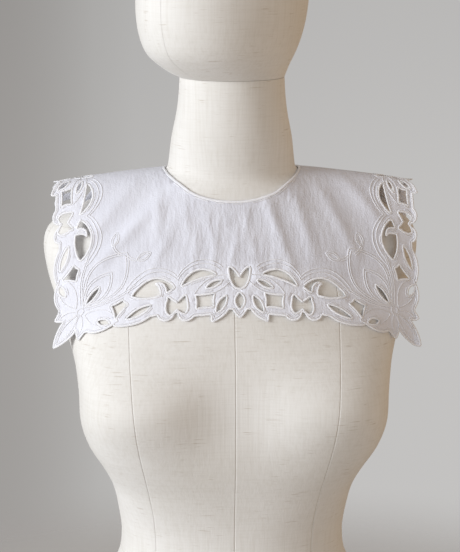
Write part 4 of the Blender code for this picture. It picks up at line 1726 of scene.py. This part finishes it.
@dataclass
class NeckClosure:
    """The neck's narrow binding, and the button with its loop at the centre back."""

    cloth: CollarCloth
    tree: CordTree
    binding_half: float = 0.0011
    button_u: float = 0.0085
    button_v: float = -0.0775
    button_radius: float = 0.0050
    button_thickness: float = 0.0022
    loop_root_u: float = -0.0030
    loop_spread: float = 0.0022
    loop_radius: float = 0.0005
    loop_start: float = math.radians(140.0)
    # distance from the axis and height over the button's middle, as shares of radius and thickness
    button_profile: tuple[Point2, ...] = (
        (0.00, -0.50), (0.90, -0.50), (0.98, -0.35), (1.00, 0.00), (0.98, 0.30), (0.90, 0.48), (0.80, 0.50),
        (0.70, 0.40), (0.60, 0.22), (0.30, 0.16), (0.00, 0.14),
    )

    def binding(self, finish: bpy.types.Material) -> bpy.types.Object:
        """The rolled edge of the neck hole.

        Args:
            finish: Its material.

        Returns:
            The piece.
        """
        line = [self.cloth.at(u, v, 0.0) for u, v in self.cloth.plan.neck_outline(0.0002)[2:-1]]
        mesh = self.tree.sweep("neck_binding_thread", [(line, False)],
                               self.binding_half, self.binding_half * 0.8,
                               10, finish)
        piece = add_piece(mesh)
        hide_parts("neck_binding")
        return piece

    def button(self, finish: bpy.types.Material) -> tuple[bpy.types.Object, Vector, Vector, Vector]:
        """The button, turned from a profile.

        Args:
            finish: Its material.

        Returns:
            The piece, its middle, its outward and its sideways direction.
        """
        height = self.cloth.wall / 2.0 + 0.0006 + self.button_thickness / 2.0
        middle, out = self.cloth.at(self.button_u, self.button_v, height)
        side = (Vector((1.0, 0.0, 0.0)) - out * out.x).normalized()
        up = out.cross(side)
        sides = 48
        bm = bmesh.new()
        rows = []
        for share, rise in self.button_profile[1:-1]:
            rows.append([bm.verts.new(middle + out * (rise * self.button_thickness)
                                      + side * (share * self.button_radius * math.cos(TURN * i / sides))
                                      + up * (share * self.button_radius * math.sin(TURN * i / sides)))
                         for i in range(sides)])
        for low, high in zip(rows[:-1], rows[1:]):
            for i in range(sides):
                j = (i + 1) % sides
                bm.faces.new((low[i], low[j], high[j], high[i]))
        bm.faces.new(list(reversed(rows[0])))
        bm.faces.new(rows[-1])
        mesh = bpy.data.meshes.new("shell_button")
        bm.to_mesh(mesh)
        bm.free()
        mesh.shade_smooth()
        mesh.set_sharp_from_angle(angle=math.radians(50.0))
        mesh.materials.append(finish)
        piece = add_piece(mesh)
        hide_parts("neck_button")
        return piece, middle, out, side

    def loop(self, middle: Vector, out: Vector, side: Vector, finish: bpy.types.Material) -> bpy.types.Object:
        """The thread loop round the button, and the button's own sewing thread.

        Args:
            middle: The button's middle.
            out: Its outward direction.
            side: Its sideways direction.
            finish: The thread's material.

        Returns:
            The piece.
        """
        up = out.cross(side)
        bend = self.button_radius + self.loop_radius + 0.0003
        level = middle + out * (self.loop_radius - self.button_thickness / 2.0)
        arc = []
        for i in range(33):
            angle = self.loop_start * (1.0 - i / 16.0)
            arc.append((level + side * bend * math.cos(angle) + up * bend * math.sin(angle), out))
        height = self.cloth.wall / 2.0 + self.loop_radius
        roots = [self.cloth.at(self.loop_root_u, self.button_v + way * self.loop_spread, height)
                 for way in (-1.0, 1.0)]
        roots.sort(key=lambda root: (root[0] - arc[0][0]).length)
        sewn = []
        for way in (-1.0, 1.0):
            base = middle + out * (0.20 * self.button_thickness) + up * (way * 0.0006)
            sewn.append(([(base + side * s, out) for s in (-0.0012, -0.0006, 0.0, 0.0006, 0.0012)], False))
        lines = [([roots[0]] + arc + [roots[1]], False)] + sewn
        mesh = self.tree.sweep("button_loop_thread", lines, self.loop_radius, self.loop_radius, 8, finish)
        piece = add_piece(mesh)
        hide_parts("button_loop")
        return piece

    def build(self) -> list[bpy.types.Object]:
        """Makes the binding, the button and the loop.

        Returns:
            The pieces.
        """
        thread = SatinFinish(colour=(0.880, 0.888, 0.940), shade=(0.800, 0.806, 0.862), pitch=0.0011,
                             depth=0.00012, slant=1.0, name="binding_thread").build()
        button, middle, out, side = self.button(ShellFinish().build())
        return [self.binding(thread), button, self.loop(middle, out, side, thread)]


@dataclass
class Studio:
    """The floor, the soft light and the camera."""

    picture_width: int = 460
    picture_height: int = 552
    elevation: float = math.radians(11.0)
    yaw: float = math.radians(-3.0)
    distance: float = 2.0
    target: Row = (0.0, -0.086, 0.452)
    focal_pixels: float = 2000.0
    middle_column: float = 236.0
    sensor: float = 36.0
    floor_size: float = 6.0
    # name, place, point aimed at, size, power, colour
    lamps: tuple[tuple[str, Row, Row, float, float, Row], ...] = (
        ("window", (-2.47, -1.22, 1.05), (0.0, 0.0, 0.42), 1.3, 73.0, (0.960, 0.978, 1.00)),
        ("fill", (0.5, -2.3, 0.05), (0.0, 0.0, 0.28), 1.6, 4.0, (0.985, 0.985, 1.00)),
        ("ceiling", (-0.5, -1.2, 2.4), (0.0, 0.0, 0.4), 1.8, 3.0, (1.00, 0.99, 1.00)),
    )
    # the surroundings' colours by the view's x direction, over the camera's field; the fall to the dark left end
    # is painted shade on the backdrop
    wall_left: float = -0.075
    wall_right: float = 0.165
    wall: tuple[tuple[float, Row], ...] = (
        (0.00, (0.350, 0.336, 0.324)), (0.14, (0.455, 0.447, 0.437)), (0.24, (0.495, 0.488, 0.480)),
        (0.60, (0.530, 0.520, 0.512)), (1.00, (0.548, 0.540, 0.532)),
    )
    # the factor that darkens the upper part of the surroundings, as painted shade
    wall_top: float = 0.88
    warm_side: Row = (0.440, 0.310, 0.185)

    def floor(self) -> bpy.types.Object:
        """The pale floor.

        Returns:
            The floor.
        """
        half = self.floor_size / 2.0
        mesh = bpy.data.meshes.new("studio_floor")
        mesh.from_pydata([(-half, -half, 0.0), (half, -half, 0.0), (half, half, 0.0), (-half, half, 0.0)], [],
                         [(0, 1, 2, 3)])
        mesh.materials.append(FloorFinish().build())
        floor = bpy.data.objects.new("studio_floor", mesh)
        bpy.context.scene.collection.objects.link(floor)
        return floor

    def light(self) -> None:
        """The area lamps and the plain grey surroundings, lighter and, out of sight, warmer to the right."""
        for name, place, aim, size, power, colour in self.lamps:
            data = bpy.data.lights.new(name, "AREA")
            data.shape = "SQUARE"
            data.size = size
            data.energy = power
            data.color = colour
            lamp = bpy.data.objects.new(name, data)
            lamp.location = place
            lamp.rotation_euler = (Vector(aim) - Vector(place)).to_track_quat("-Z", "Y").to_euler()
            bpy.context.scene.collection.objects.link(lamp)
        world = bpy.data.worlds.new("studio")
        world.use_nodes = True
        bpy.context.scene.world = world
        nodes, links = world.node_tree.nodes, world.node_tree.links
        where = nodes.new("ShaderNodeTexCoord")
        parts = nodes.new("ShaderNodeSeparateXYZ")
        links.new(where.outputs["Generated"], parts.inputs[0])
        across = self.world_ramp(world, parts.outputs[0], self.wall_left, self.wall_right)
        ramp = nodes.new("ShaderNodeValToRGB")
        stops = ramp.color_ramp.elements
        for place, colour in self.wall[1:-1]:
            stops.new(place)
        for stop, (place, colour) in zip(stops, self.wall):
            stop.position = place
            stop.color = rgba(colour)
        links.new(across, ramp.inputs[0])
        shaded = nodes.new("ShaderNodeMix")
        shaded.data_type = "RGBA"
        shaded.blend_type = "MULTIPLY"
        links.new(self.world_ramp(world, parts.outputs[2], -0.20, -0.02), shaded.inputs[0])
        links.new(ramp.outputs[0], shaded.inputs[6])
        shaded.inputs[7].default_value = (self.wall_top, self.wall_top, self.wall_top, 1.0)
        warmed = nodes.new("ShaderNodeMix")
        warmed.data_type = "RGBA"
        unseen = nodes.new("ShaderNodeMath")
        unseen.operation = "SUBTRACT"
        unseen.use_clamp = True
        links.new(self.world_ramp(world, parts.outputs[0], 0.25, 0.60), unseen.inputs[0])
        links.new(nodes.new("ShaderNodeLightPath").outputs["Is Camera Ray"], unseen.inputs[1])
        links.new(unseen.outputs[0], warmed.inputs[0])
        links.new(shaded.outputs[2], warmed.inputs[6])
        warmed.inputs[7].default_value = rgba(self.warm_side)
        links.new(warmed.outputs[2], nodes["Background"].inputs["Color"])
        nodes["Background"].inputs["Strength"].default_value = 1.0

    def world_ramp(self, world: bpy.types.World, value: bpy.types.NodeSocket, low: float, high: float) \
            -> bpy.types.NodeSocket:
        """A smooth rise from 0 to 1 in the surroundings.

        Args:
            world: The surroundings.
            value: What it follows.
            low: Where the rise begins.
            high: Where it ends.

        Returns:
            The rise's socket.
        """
        rise = world.node_tree.nodes.new("ShaderNodeMapRange")
        rise.interpolation_type = "SMOOTHSTEP"
        rise.inputs["From Min"].default_value = low
        rise.inputs["From Max"].default_value = high
        world.node_tree.links.new(value, rise.inputs["Value"])
        return rise.outputs[0]

    def camera(self) -> bpy.types.Object:
        """The camera at the photograph's viewing angle.

        Returns:
            The camera.
        """
        direction = Vector((math.sin(self.yaw) * math.cos(self.elevation),
                            -math.cos(self.yaw) * math.cos(self.elevation), math.sin(self.elevation)))
        data = bpy.data.cameras.new("camera")
        data.sensor_fit = "VERTICAL"
        data.sensor_height = self.sensor
        data.lens = self.focal_pixels / self.picture_height * self.sensor
        data.shift_x = -(self.middle_column - self.picture_width / 2.0) / self.picture_height
        camera = bpy.data.objects.new("camera", data)
        camera.location = Vector(self.target) + direction * self.distance
        camera.rotation_euler = (-direction).to_track_quat("-Z", "Y").to_euler()
        bpy.context.scene.collection.objects.link(camera)
        bpy.context.scene.camera = camera
        return camera

    def build(self) -> None:
        """Sets up the studio."""
        self.camera()
        self.floor()
        self.light()
        bpy.context.scene.view_settings.view_transform = "Standard"


def main() -> None:
    """Builds the dressed collar on its form, piece by piece."""
    logging.basicConfig(level=logging.INFO, format="%(name)s: %(message)s")
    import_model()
    Studio().build()
    form = DressForm()
    form.build(LinenFinish())
    collar = CollarCloth()
    cloth = collar.build(form.surface, CottonFinish())
    thread = CordTree()
    sewing = Embroidery(collar, thread).build()
    trim = NeckClosure(collar, thread).build()
    sewing + trim
    LOG.info("flat area %.4f m2", collar.flat_area())


if __name__ == "__main__":
    main()
